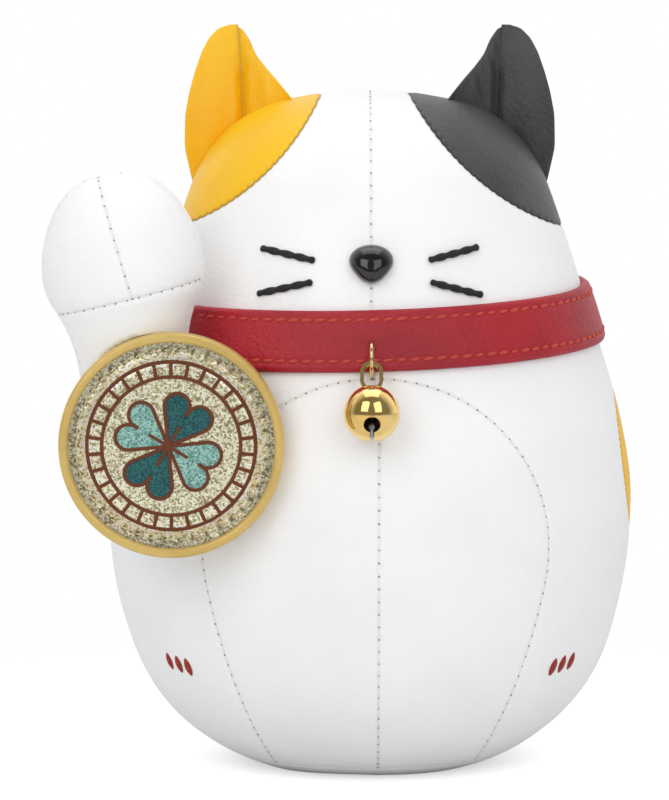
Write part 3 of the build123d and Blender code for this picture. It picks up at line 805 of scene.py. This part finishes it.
points, tris = ARM.skin("arm", 0.85)
for gap in (wrist_gap, paw_gap, arm_side_gap):
    points, tris = refine(points, tris, gap, 1.6, 0.6)
points = ARM.at(points)[0]
for gap in (wrist_gap, paw_gap, arm_side_gap, body_gap):
    points, tris = score(points, tris, gap)
tris = tris[body_gap(points[tris].mean(axis=1)) > -0.4]
points, normals, _, _ = ARM.at(points)
ahead = points[:, 1] < ARM_SEAM_Y + 0.03
above = wrist_gap(points) > -0.03
away = {
    "wrist": np.where(ahead, np.abs(wrist_gap(points)), FAR_OFF),
    "paw": np.where(ahead & above, np.abs(paw_gap(points)), FAR_OFF),
    "side": np.abs(arm_side_gap(points)) / np.sqrt(np.maximum(1 - normals[:, 1] ** 2, 0.08)),
}
run_of = {"wrist": 15 * np.arctan2(points[:, 0] - wrist[0], wrist[1] - points[:, 1]), "paw": -points[:, 2],
          "side": -points[:, 2]}
nearest = np.min(list(away.values()), axis=0)
skin = points + normals * (-sunk_at(nearest) - puckers(away, run_of, dict.fromkeys(away, ARM_PITCH)))[:, None]
from_coin = np.hypot(skin[:, 0] - COIN[0], skin[:, 2] - COIN[2]) - COIN_RADIUS
limit = COIN_BACK - 0.02 - 4.0 * np.clip(from_coin + 0.6, 0, None)
skin[:, 1] = np.maximum(skin[:, 1], limit)
above_base = np.ones(len(points), bool)
# Painted shade in the arm's seams, and where the arm meets the body.
seam = 0.13 * seam_shade_line(nearest) + 0.2 * np.exp(-((np.abs(body_gap(points)) / 0.8) ** 2))
centre = points[tris].mean(axis=1)
part = np.where(centre[:, 1] > ARM_SEAM_Y, 0, np.where(wrist_gap(centre) < 0, 1, np.where(paw_gap(centre) < 0, 2, 3)))
for k, node in enumerate(("arm_back", "arm_front", "paw_outer", "paw_inner")):
    hides = [node, "arm_stuffing"] if k == 0 else node
    keep(part_of(f"{node}_skin", skin, tris[part == k], seam), hides, WHITE)
stitch_row("arm_stitches", [
    seam_path("wrist"), seam_path("paw"), seam_path("side", points[:, 0] < ARM_TIP[0] + 4)],
    SHADE, ARM_PITCH, 0.7, 0.42, 0.4, slant=1.2)

# ---------------------------------------------------------------- coin
SEAT = COIN_RADIUS - 2.4
STITCH_R = 23.7
RINGS, SPOKES = 96, 420


def coin_rise(r):
    """How far the coin's leather stands in front of its back."""
    knots = np.array([0, 12, 17.5, 19.6, 20.9, 21.9, 22.8, 23.6, 24.4, 25.0, 25.62])
    rises = np.array([6.4, 6.4, 6.35, 6.2, 5.75, 5.0, 4.3, 4.0, 4.3, 4.75, 4.9])
    fine = np.linspace(0, SEAT, 400)
    rise = np.interp(fine, knots, rises)
    for _ in range(6):
        rise = np.convolve(np.pad(rise, 4, "edge"), np.ones(9) / 9, "valid")
    return np.interp(r, fine, rise)


def on_coin(x, z, rise=0.0):
    """Points in front of the coin's face, from places measured across and up from its middle."""
    y = COIN_BACK - coin_rise(np.hypot(x, z)) - rise
    return np.stack([COIN[0] + x, y + 0 * x, COIN[2] + z], axis=-1)


# Painted light on the coin's glitter face: the middle a little brighter, a painted highlight on the plateau's
# shoulder, and painted shade in the stitched groove and the margin outside it.
paint_ring_light(CHAMPAGNE, COIN, [(0, 1.15), (19.6, 1.2), (20.6, 1.9), (22.4, 1.9), (23.2, 1.2), (24.3, 0.75), (26, 0.65)])
COIN_STITCHES = 42
r = np.linspace(0, 1, RINGS + 1)[1:, None] ** 0.85 * SEAT
a = np.linspace(0, 2 * pi, SPOKES, endpoint=False)[None, :]
face = on_coin(r * np.cos(a), r * np.sin(a))
holes = np.exp(-(((r - STITCH_R) / 0.5) ** 2)) * np.clip(np.cos(a * COIN_STITCHES), 0, 1) ** 4
face[..., 1] += 0.55 * holes + 0.06 * np.sin(9 * a + r) * np.exp(-(((r - 22.5) / 1.5) ** 2))
ring = np.arange(RINGS * SPOKES).reshape(RINGS, SPOKES)
quads = np.stack([ring[:-1], ring[1:], np.roll(ring[1:], -1, axis=1), np.roll(ring[:-1], -1, axis=1)], axis=-1)
hub = RINGS * SPOKES
fan = [(hub, ring[0, k], ring[0, (k + 1) % SPOKES]) for k in range(SPOKES)]
face_points = np.concatenate([face.reshape(-1, 3), on_coin(np.zeros(1), np.zeros(1))])
face_faces = [tuple(int(v) for v in f) for f in quads.reshape(-1, 4)] + [tuple(int(v) for v in f) for f in fan]
# Painted shade in the coin's stitch holes.
hole_shade = np.concatenate([(holes * 0.95 + 0 * r).ravel(), [0]])
keep(plain_mesh("coin_leather", face_points, face_faces, hole_shade), "coin_face", CHAMPAGNE)


def ribbon(name, lines, width, rise, closed, finish):
    """Flat raised thread lines laid on the coin's face."""
    spots, faces = [], []
    for line in lines:
        line = np.array(line, float)
        if closed:
            step = np.roll(line, -1, axis=0) - np.roll(line, 1, axis=0)
        else:
            step = np.gradient(line, axis=0)
        side = np.stack([-step[:, 1], step[:, 0]], axis=1)
        side /= np.linalg.norm(side, axis=1)[:, None] + 1e-9
        first = sum(len(s) for s in spots)
        rows = []
        for share, high in ((-1, -0.15), (-0.82, 0.7), (0, 1.0), (0.82, 0.7), (1, -0.15)):
            flat = line + side * share * width / 2
            rows.append(on_coin(flat[:, 0], flat[:, 1], rise * high))
        spots.append(np.stack(rows, axis=1).reshape(-1, 3))
        count = len(line)
        for k in range(count if closed else count - 1):
            n = (k + 1) % count
            faces += [(first + 5 * k + j, first + 5 * k + j + 1, first + 5 * n + j + 1, first + 5 * n + j)
                      for j in range(4)]
    return keep(plain_mesh(name, np.concatenate(spots), faces), None, finish)


def circle(radius, count=220):
    t = np.linspace(0, 2 * pi, count, endpoint=False)
    return np.stack([radius * np.cos(t), radius * np.sin(t)], axis=1)


OUTER_RING, INNER_RING, SQUARES, LINE = 20.9, 17.2, 30, 0.95
ticks = [[(q * cos(t), q * sin(t)) for q in np.linspace(INNER_RING, OUTER_RING, 6)]
         for t in (2 * pi * (k + 0.5) / SQUARES for k in range(SQUARES))]
ribbon("coin_rings", [circle(OUTER_RING), circle(INNER_RING)], LINE, 0.3, True, BROWN)
ribbon("coin_bars", ticks, LINE, 0.28, False, BROWN)

bend = 2 * pi * (np.arange(COIN_STITCHES * 4 + 1) + 2) / COIN_STITCHES / 4
thread_run = on_coin(STITCH_R * np.cos(bend), STITCH_R * np.sin(bend), 0.05)
stitch_row("coin_stitches", [(thread_run, np.tile([0.0, -1.0, 0.0], (len(bend), 1)))], TWINE,
           2 * pi * STITCH_R / COIN_STITCHES, 2.1, 0.6, 0.5, slant=0.1)
LEAF_HUB = np.array([-0.7, 0.0])


def leaf(angle):
    """A heart-shaped leaf with its point at the clover's middle."""
    lobe, reach = np.array([9.7, 3.25]), 3.15
    from_hub = hypot(*lobe)
    lean = atan2(lobe[1], lobe[0]) + asin(reach / from_hub)
    touch = sqrt(from_hub**2 - reach**2)
    straight = [np.array([cos(lean), sin(lean)]) * touch * q for q in np.linspace(0.06, 0.97, 9)]
    bend = np.linspace(lean + pi / 2, radians(-98), 26)
    curl = [lobe + reach * np.array([cos(t), sin(t)]) for t in bend]
    half = np.array(straight + curl + [np.array([8.9, 0.22])])
    whole = np.concatenate([half, half[::-1] * (1, -1)])
    c, s = cos(angle), sin(angle)
    return LEAF_HUB + np.stack([whole[:, 0] * c - whole[:, 1] * s, whole[:, 0] * s + whole[:, 1] * c], axis=1)


LEAF_TURN = radians(59)
for k, (finish, label) in enumerate(((DARK_LEAF, "dark"), (LIGHT_LEAF, "light")) * 2):
    rim = leaf(LEAF_TURN + k * pi / 2)
    core = LEAF_HUB + 7.6 * np.array([cos(LEAF_TURN + k * pi / 2), sin(LEAF_TURN + k * pi / 2)])
    rows = [core + (rim - core) * q for q in (1.0, 0.85, 0.6, 0.3)]
    spots = [on_coin(row[:, 0], row[:, 1], h) for row, h in zip(rows, (-0.05, 0.16, 0.2, 0.2))]
    spots.append(on_coin(core[:1], core[1:], 0.2))
    made = plain_mesh(f"leaf_{label}_{k}", np.concatenate(spots), capped(len(rows), len(rim)))
    keep(made, None, finish)
ribbon("leaf_edges", [leaf(LEAF_TURN + k * pi / 2) for k in range(4)], LINE, 0.34, True, BROWN)
veins = [[LEAF_HUB + q * np.array([cos(t), sin(t)]) for q in np.linspace(0, 5.6, 12)]
         for t in (LEAF_TURN + k * pi / 2 for k in range(4))]
ribbon("leaf_veins", veins, LINE, 0.4, False, BROWN)

# ---------------------------------------------------------------- collar
COLLAR_LOW, COLLAR_WIDTH, COLLAR_THICK = 107.2, 14.7, 2.1
hole_z = COLLAR_LOW + COLLAR_WIDTH / 2
ROUND, ACROSS = 560, 20


def collar_point(turn, share, out):
    """A point of the collar: turn about the neck, share of the width from its middle, and stand-off."""
    z = np.full_like(turn, hole_z)
    for _ in range(5):
        r = width_at(z)
        x, y = r * np.sin(turn), -r * FLAT * np.cos(turn)
        rise = width_at(hole_z) * FLAT * sin(radians(3))
        z = hole_z + rise + y * sin(radians(3)) + x * sin(radians(1.5)) + share * COLLAR_WIDTH
    at, normal, _, _ = EGG.at(np.stack([x, y, z], axis=1))
    return at + normal * out[:, None], normal


turn = np.linspace(-pi, pi, ROUND, endpoint=False)
section = []
for share in np.linspace(-0.5, 0.5, ACROSS):
    edge = 1 - min(1, (0.5 - abs(share)) * COLLAR_WIDTH / 0.9)
    groove = 0.0
    for row in (-1, 1):
        groove += 0.3 * np.exp(-(((share * COLLAR_WIDTH - row * (COLLAR_WIDTH / 2 - 2.4)) / 0.5) ** 2))
    section.append((share, COLLAR_THICK - 0.55 * edge**2 - groove + 0.15 * (1 - (2 * share) ** 2)))
section = [(-0.5, 0.05)] + section + [(0.5, 0.05)]
rows = [collar_point(turn, share, np.full(ROUND, out))[0] for share, out in section]
strap = np.stack(rows, axis=1)
count = len(section)
faces = []
for k in range(ROUND):
    n = (k + 1) % ROUND
    faces += [(k * count + j, n * count + j, n * count + j + 1, k * count + j + 1) for j in range(count - 1)]
    faces.append((k * count + count - 1, n * count + count - 1, n * count, k * count))
keep(plain_mesh("collar_leather", strap.reshape(-1, 3), faces), ["collar_lining", "collar_strap"], RED)
LAP, LAP_STEPS = 24.0, 44
lap_turn = pi + np.linspace(-0.5, 0.5, LAP_STEPS) * LAP / (width_at(hole_z) * FLAT)
lap_edge = np.minimum(1, (0.5 - np.abs(np.linspace(-0.5, 0.5, LAP_STEPS))) * LAP / 1.0)
rows = [collar_point(lap_turn, share, np.full(LAP_STEPS, COLLAR_THICK - 0.2))[0] for share in (-0.5,)]
for share, out in section[1:-1]:
    rows.append(collar_point(lap_turn, share, out + 1.2 * np.sqrt(lap_edge + 0.02) - 0.05)[0])
rows.append(collar_point(lap_turn, 0.5, np.full(LAP_STEPS, COLLAR_THICK - 0.2))[0])
lap = np.stack(rows, axis=1)
wide = lap.shape[1]
faces = [(k * wide + j, (k + 1) * wide + j, (k + 1) * wide + j + 1, k * wide + j + 1)
         for k in range(LAP_STEPS - 1) for j in range(wide - 1)]
faces += [(k * wide + wide - 1, (k + 1) * wide + wide - 1, (k + 1) * wide, k * wide) for k in range(LAP_STEPS - 1)]
faces += [tuple(range(wide)), tuple(reversed(range((LAP_STEPS - 1) * wide, LAP_STEPS * wide)))]
keep(plain_mesh("collar_lap_leather", lap.reshape(-1, 3), faces), "collar_lap", RED)
runs = []
for end in (-1, 1):
    at = np.full(12, pi + end * (LAP / 2 - 2.2) / (width_at(hole_z) * FLAT))
    steps = np.linspace(-0.34, 0.34, 12)
    spots = [collar_point(at[k:k + 1], steps[k], np.array([COLLAR_THICK + 1.15])) for k in range(12)]
    runs.append((np.concatenate([q[0] for q in spots]), np.concatenate([q[1] for q in spots])))
stitch_row("lap_stitches", runs, ORANGE, 3.4, 2.7, 0.8, 0.7, slant=0.12)
runs = []
for row in (-1, 1):
    share = row * (COLLAR_WIDTH / 2 - 2.4) / COLLAR_WIDTH
    spot, up = collar_point(np.append(turn, pi - 0.001), share, np.full(ROUND + 1, COLLAR_THICK - 0.1))
    runs.append((spot, up))
stitch_row("collar_stitches", runs, ORANGE, 3.4, 2.75, 1.0, 0.9, slant=0.12)

# ---------------------------------------------------------------- nose, whiskers and toes
NOSE_Z = 133.6


nose_marks = np.array([
    (5.8, 1.2), (4.5, 3.3), (2.6, 4.3), (0.0, 4.75), (-2.6, 4.3), (-4.5, 3.3), (-5.8, 1.2), (-4.0, -2.1), (-1.7, -4.3),
    (0.0, -4.85), (1.7, -4.3), (4.0, -2.1)])
around = np.linspace(0, 2 * pi, 120, endpoint=False)
marked = np.arctan2(nose_marks[:, 1], nose_marks[:, 0]) % (2 * pi)
out = np.interp(around, marked, np.hypot(*nose_marks.T), period=2 * pi)
for _ in range(40):
    out = (np.roll(out, 1) + 2 * out + np.roll(out, -1)) / 4
nose_rim = np.stack([out * np.cos(around), out * np.sin(around)], axis=1)
spots = []
for q in (0.93, 1.0, 0.995, 0.98, 0.95, 0.9, 0.84, 0.76, 0.66, 0.55, 0.42, 0.28, 0.14):
    flat = nose_rim * q
    spots.append((flat, q, front_skin(flat[:, 0], NOSE_Z + flat[:, 1])[0]))
nose_points = []
for k, (flat, q, at) in enumerate(spots):
    lift = -0.3 if k == 0 else 4.0 * (1 - q**2.2) ** (1 / 2.0) + 0.45
    nose_points.append(np.stack([flat[:, 0], at[:, 1] - lift, NOSE_Z + flat[:, 1]], axis=1))
tip = front_skin(np.zeros(1), np.array([NOSE_Z]))[0]
nose_points.append(tip - (0, 4.45, 0))
nose = plain_mesh("nose_button", np.concatenate(nose_points), capped(len(spots), len(nose_rim)))
gloss, tree, shader, place = material("black_gloss")
paint(tree, shader, clouds(tree, place, 300.0, 3.0), (0.3, colour(6, 6, 7)), (0.7, colour(14, 14, 15)))
shader.inputs["Roughness"].default_value = 0.12
shader.inputs["Coat Weight"].default_value = 0.6
keep(nose, "nose", gloss)


def twisted(start, end, width, lobes, turns, stand, spindle=False):
    """A stroke of twisted thread laid over the skin between two places of its face."""
    count, around = 46, 20
    t = np.linspace(0, 1, count)
    flat = start + (end - start) * t[:, None]
    at, normal = front_skin(flat[:, 0], flat[:, 1])
    middle = at + normal * stand
    forward = np.gradient(middle, axis=0)
    forward /= np.linalg.norm(forward, axis=1)[:, None]
    side = np.cross(forward, normal)
    end_round = np.sqrt(np.clip(1 - np.clip(1 - np.minimum(t, 1 - t) / 0.07, 0, 1) ** 2, 0, 1))
    if spindle:
        end_round = np.sin(pi * np.clip(t, 0.004, 0.996)) ** 0.6 * (1 + 0.07 * np.cos(2 * pi * 8 * t))
    spots = []
    for k in range(around):
        a = 2 * pi * k / around
        fat = 1 + 0.17 * np.cos(lobes * (a - 2 * pi * turns * t / lobes))
        fine = 1 + 0.05 * np.cos(9 * a + 2 * pi * 26 * t)
        radius = width / 2 * fat * fine * end_round / 1.1
        spots.append(middle + side * (radius * cos(a))[:, None] + normal * (radius * sin(a) * 0.8)[:, None])
    tube = np.stack(spots, axis=1).reshape(-1, 3)
    return tube, [(a, d, c, b) for a, b, c, d in bands(count, around)]


def strokes(name, list_of, finish, node):
    """One piece from several strokes."""
    spots, faces = [], []
    for tube, sides in list_of:
        first = sum(len(s) for s in spots)
        faces += [tuple(first + v for v in side) for side in sides]
        spots.append(tube)
    return keep(plain_mesh(name, np.concatenate(spots), faces), node, finish)


whiskers = []
for start, end in (((-27.7, 137.1), (-13.9, 134.2)), ((-28.6, 125.7), (-14.5, 129.0)),
                   ((14.2, 134.3), (27.0, 137.4)), ((14.6, 129.0), (28.0, 125.4))):
    whiskers.append(twisted(np.array(start), np.array(end), 1.85, 2, 4.0, 0.5))
strokes("whisker_threads", whiskers, BLACK, "whiskers")
toes = []
for side in (-1, 1):
    for k in (-1, 0, 1):
        x, z = side * (48.8 + k * 2.4), 30.5 + 0.4 * k
        reach = np.array([side * sin(radians(20)), cos(radians(20))]) * 2.5
        toes.append(twisted(np.array([x, z]) - reach, np.array([x, z]) + reach, 2.0, 2, 0, 0.1, True))
strokes("toe_threads", toes, TOE, "toe_marks")

# ---------------------------------------------------------------- ears
EAR_X, EAR_TIP_X, EAR_SEAM_X = 34.2, 37.0, 32.4
EAR_LOW, EAR_HIGH = -24, 24.8
EAR_BACK_Y, FOOT_CURVE, TIP_CURVE = 7.0 * FLAT, 24.0, 10.0
head_z = np.interp(EAR_X, egg_line[egg_line[:, 1] > 100, 0], egg_line[egg_line[:, 1] > 100, 1])
outer_edge = np.array([(44.0, -24), (46.6, -15), (48.3, -7), (48.1, 1.5), (47.0, 7.5), (45.6, 12.6), (43.9, 17.6),
                       (41.9, 21.4), (39.4, 23.9), (36.4, 24.8)])
inner_edge = np.array([(12.0, -24), (14.0, -8), (17.0, 2), (20.9, 6.6), (24.3, 10.6), (27.3, 13.9), (29.7, 17.0),
                       (31.4, 21.0), (33.4, 23.8), (36.4, 24.8)])


def edge_line(edge, z):
    return np.interp(z, edge[:, 1], edge[:, 0])


UP, WIDE = 80, 72
rise = np.linspace(0, 1, UP)
levels = EAR_LOW + (EAR_HIGH - EAR_LOW) * (1 - (1 - rise) ** 1.7)
levels[-1] = EAR_HIGH - 1e-3


def soften(line, rounds=3):
    for _ in range(rounds):
        line[1:-1] = (line[:-2] + 2 * line[1:-1] + line[2:]) / 4
    return line


outer_x = soften(edge_line(outer_edge, levels))
inner_x = soften(edge_line(inner_edge, levels))


def ear_sheet(side, layer):
    """One sheet of the ear: layer -1 is the lining in front, +1 the back."""
    grid = np.empty((UP, WIDE, 3))
    seam = np.empty((UP, WIDE))
    for j, level in enumerate(levels):
        share = (level - EAR_LOW) / (EAR_HIGH - EAR_LOW)
        curve = FOOT_CURVE + (TIP_CURVE - FOOT_CURVE) * share
        middle_x = EAR_X + (EAR_TIP_X - EAR_X) * share
        split = EAR_SEAM_X + 2.0 * share**2
        u = np.linspace(-1, 1, WIDE)
        u = np.sign(u) * (1 - (1 - np.abs(u)) ** 1.35)
        x = np.where(u < 0, split + (split - inner_x[j]) * u, split + (outer_x[j] - split) * u)
        y = EAR_BACK_Y - curve * FLAT + FLAT * np.sqrt(np.maximum(curve**2 - (x - middle_x) ** 2, 4.0))
        plump = 1.45 * np.maximum(1 - np.abs(u) ** 5, 0) ** 0.5 * min(1.0, (1 - share) * 6) ** 0.5
        crease = np.exp(-(((x - split) / 1.3) ** 2)) * smooth((1 - share) * 2.5)
        cheek = 2.6 * np.exp(-((np.abs(u) - 0.55) / 0.3) ** 2) * smooth((1 - share) * 1.6)
        y = y + layer * plump
        if layer < 0:
            y = y + 2.0 * crease * smooth(share * 3) - cheek * 0.6
            fold = smooth((split - x) / 2) * smooth(share * 3 - 1.2) * smooth((1 - share) * 4)
            fold = fold * smooth((x - inner_x[j] - 0.8) / 5)
            y = y - 0.45 * fold * np.cos((x - split) * 1.25 + level * 0.22)
            ripple = np.exp(-(((x - split + 4) / 3.5) ** 2)) * smooth(share * 2 - 0.4)
            y = y + 0.22 * np.sin(x * 2.4 + level * 0.8) * ripple
        grid[j] = np.stack([side * x, y, head_z + level + 0 * x], axis=1)
        # Painted shade down the crease at the middle of the ear lining.
        seam[j] = 0.5 * np.exp(-(((x - split) / 0.5) ** 2)) if layer < 0 else 0
    return grid, seam


def sheet_faces(low, high, turn_over):
    faces = []
    for j in range(UP - 1):
        for i in range(low, high):
            a, b, c, d = j * WIDE + i, j * WIDE + i + 1, (j + 1) * WIDE + i + 1, (j + 1) * WIDE + i
            faces.append((a, b, c, d) if turn_over else (d, c, b, a))
    return np.array(faces)


half = WIDE // 2
for side, hand, slot, finish in ((-1, "right", "yellow_leather", YELLOW), (1, "left", "grey_leather", GREY)):
    for layer, low, high, node in (
            (-1, 0, half, "lining_inner"), (-1, half, WIDE - 1, "lining_outer"), (1, 0, WIDE - 1, "back")):
        grid, seam = ear_sheet(side, layer)
        faces = sheet_faces(low, high, (side * layer) < 0)
        keep(part_of(f"ear_{hand}_{node}_skin", grid.reshape(-1, 3), faces, seam.ravel()), f"ear_{hand}_{node}",
             finish)

# ---------------------------------------------------------------- tail
t = np.linspace(0, pi, 60)
BALL = Form(np.stack([10 * np.sin(t), 10 * np.cos(t)], axis=1), press=1.0)
points, tris = BALL.skin("tail", 0.75)
points = points / 10 * (8.5, 15.0, 13.5)
c, s = cos(radians(-18)), sin(radians(-18))
points = np.stack([points[:, 0], points[:, 1] * c - points[:, 2] * s, points[:, 1] * s + points[:, 2] * c], axis=1)
points = (points + (0, width_at(33.0), 33.0)) * (1, FLAT, 1)
points, tris = score(points, tris, body_gap)
points, tris = score(points, tris, lambda p: p[:, 0])
tris = tris[body_gap(points[tris].mean(axis=1)) > -0.4]
d = np.abs(points[:, 0])
points[:, 1] -= 0.5 * np.exp(-((d / 0.9) ** 2))
# Painted shade in the tail's middle seam, and where the tail meets the body.
seam = 0.4 * seam_shade_line(d) + 0.35 * np.exp(-((np.abs(body_gap(points)) / 0.8) ** 2))
keep(part_of("tail_skin", points, tris, seam), ["tail", "tail_stuffing"], WHITE)

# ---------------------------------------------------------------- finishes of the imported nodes
fibre, tree, shader, place = material("stuffing")
tufts = clouds(tree, place, 700.0, 6.0)
paint(tree, shader, tufts, (0.3, colour(225, 225, 220)), (0.7, colour(246, 246, 242)))
emboss(tree, shader, tufts, 0.6, 0.001)
shader.inputs["Roughness"].default_value = 0.95
BOARD = thread("board", colour(176, 152, 118), colour(150, 126, 92), 900.0, 0.85)
GRIT = glitter("grit", colour(128, 122, 114), colour(96, 90, 84), colour(52, 48, 44), 900.0, 0.1)
plastic, tree, shader, place = material("clear_plastic")
paint(tree, shader, clouds(tree, place, 400.0), (0.3, colour(200, 204, 208)), (0.7, colour(222, 226, 230)))
shader.inputs["Roughness"].default_value = 0.25
shader.inputs["Transmission Weight"].default_value = 0.6
FINISH = {
    "coin_rim": GOLD, "coin_back": GOLD, "coin_pad": fibre, "jump_ring": WIRE, "bell_loop": BRASS,
    "bell_upper_shell": BRASS, "bell_lower_shell": BRASS, "bell_pellet": STEEL, "body_stuffing": fibre,
    "nose_washer": plastic, "base_board": BOARD, "weight_bag": GRIT}
for node, finish in FINISH.items():
    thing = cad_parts[node]
    thing.data.materials.clear()
    thing.data.materials.append(finish)

# ---------------------------------------------------------------- floor, lamps and backdrop
FLOOR = 3000
corners = [(-FLOOR, -FLOOR, 0), (FLOOR, -FLOOR, 0), (FLOOR, FLOOR, 0), (-FLOOR, FLOOR, 0)]
floor = plain_mesh("floor", corners, [(0, 1, 2, 3)])
ground, tree, shader, place = material("pale_floor")
paint(tree, shader, clouds(tree, place, 8.0), (0.3, (0.78, 0.78, 0.78, 1)), (0.7, (0.8, 0.8, 0.8, 1)))
shader.inputs["Roughness"].default_value = 0.9
path = add(tree, "ShaderNodeLightPath").outputs["Is Camera Ray"]
glow = add(tree, "ShaderNodeEmission", {"Color": (1, 1, 1, 1), "Strength": 0.5})
near = add(tree, "ShaderNodeAddShader", {0: shader.outputs[0], 1: glow.outputs[0]})
white = add(tree, "ShaderNodeEmission", {"Color": (1, 1, 1, 1), "Strength": 1.0})
away_from = add(tree, "ShaderNodeVectorMath", {0: place}, operation="LENGTH")
fade = add(tree, "ShaderNodeMapRange", {"Value": away_from.outputs["Value"], "From Min": 0.09, "From Max": 0.2})
lit = add(tree, "ShaderNodeMixShader", {0: fade.outputs[0], 1: near.outputs[0], 2: white.outputs[0]})
seen = add(tree, "ShaderNodeMixShader", {0: path, 1: shader.outputs[0], 2: lit.outputs[0]})
tree.links.new(seen.outputs[0], tree.nodes["Material Output"].inputs["Surface"])
floor.data.materials.append(ground)

world = bpy.data.worlds.new("studio")
scene.world = world
world.use_nodes = True
tree = world.node_tree
back = tree.nodes["Background"]
back.inputs["Color"].default_value = (0.96, 0.98, 1.0, 1)
back.inputs["Strength"].default_value = 0.74
bright = add(tree, "ShaderNodeBackground", {"Color": (1, 1, 1, 1), "Strength": 1.0})
room = add(tree, "ShaderNodeBackground", {"Color": (1, 1, 1, 1), "Strength": 0.22})
way = add(tree, "ShaderNodeSeparateXYZ", {0: add(tree, "ShaderNodeTexCoord").outputs["Generated"]})
behind = add(tree, "ShaderNodeMapRange", {"Value": way.outputs[1], "From Min": -0.25, "From Max": 0.35})
mirrored = add(tree, "ShaderNodeMixShader", {0: behind.outputs[0], 1: room.outputs[0], 2: bright.outputs[0]})
path = add(tree, "ShaderNodeLightPath").outputs
shown = back
for ray, view in (("Is Glossy Ray", mirrored), ("Is Transmission Ray", mirrored), ("Is Camera Ray", bright)):
    shown = add(tree, "ShaderNodeMixShader", {0: path[ray], 1: shown.outputs[0], 2: view.outputs[0]})
tree.links.new(shown.outputs[0], tree.nodes["World Output"].inputs["Surface"])


def lamp(name, place, target, size, power):
    data = bpy.data.lights.new(name, "AREA")
    data.shape = "RECTANGLE"
    data.size, data.size_y = size
    data.energy = power
    made = bpy.data.objects.new(name, data)
    bpy.context.collection.objects.link(made)
    made.location = place
    look_along(made, target)
    return made


lamp("softbox_left", (-0.55, -0.95, 0.75), (0, 0, 0.09), (0.62, 0.85), 3.0)
lamp("softbox_right", (0.5, -1.0, 0.7), (0, 0, 0.09), (0.62, 0.85), 2.3)
lamp("top_light", (0.0, 0.15, 1.2), (0, 0, 0.1), (0.9, 0.9), 2.5)
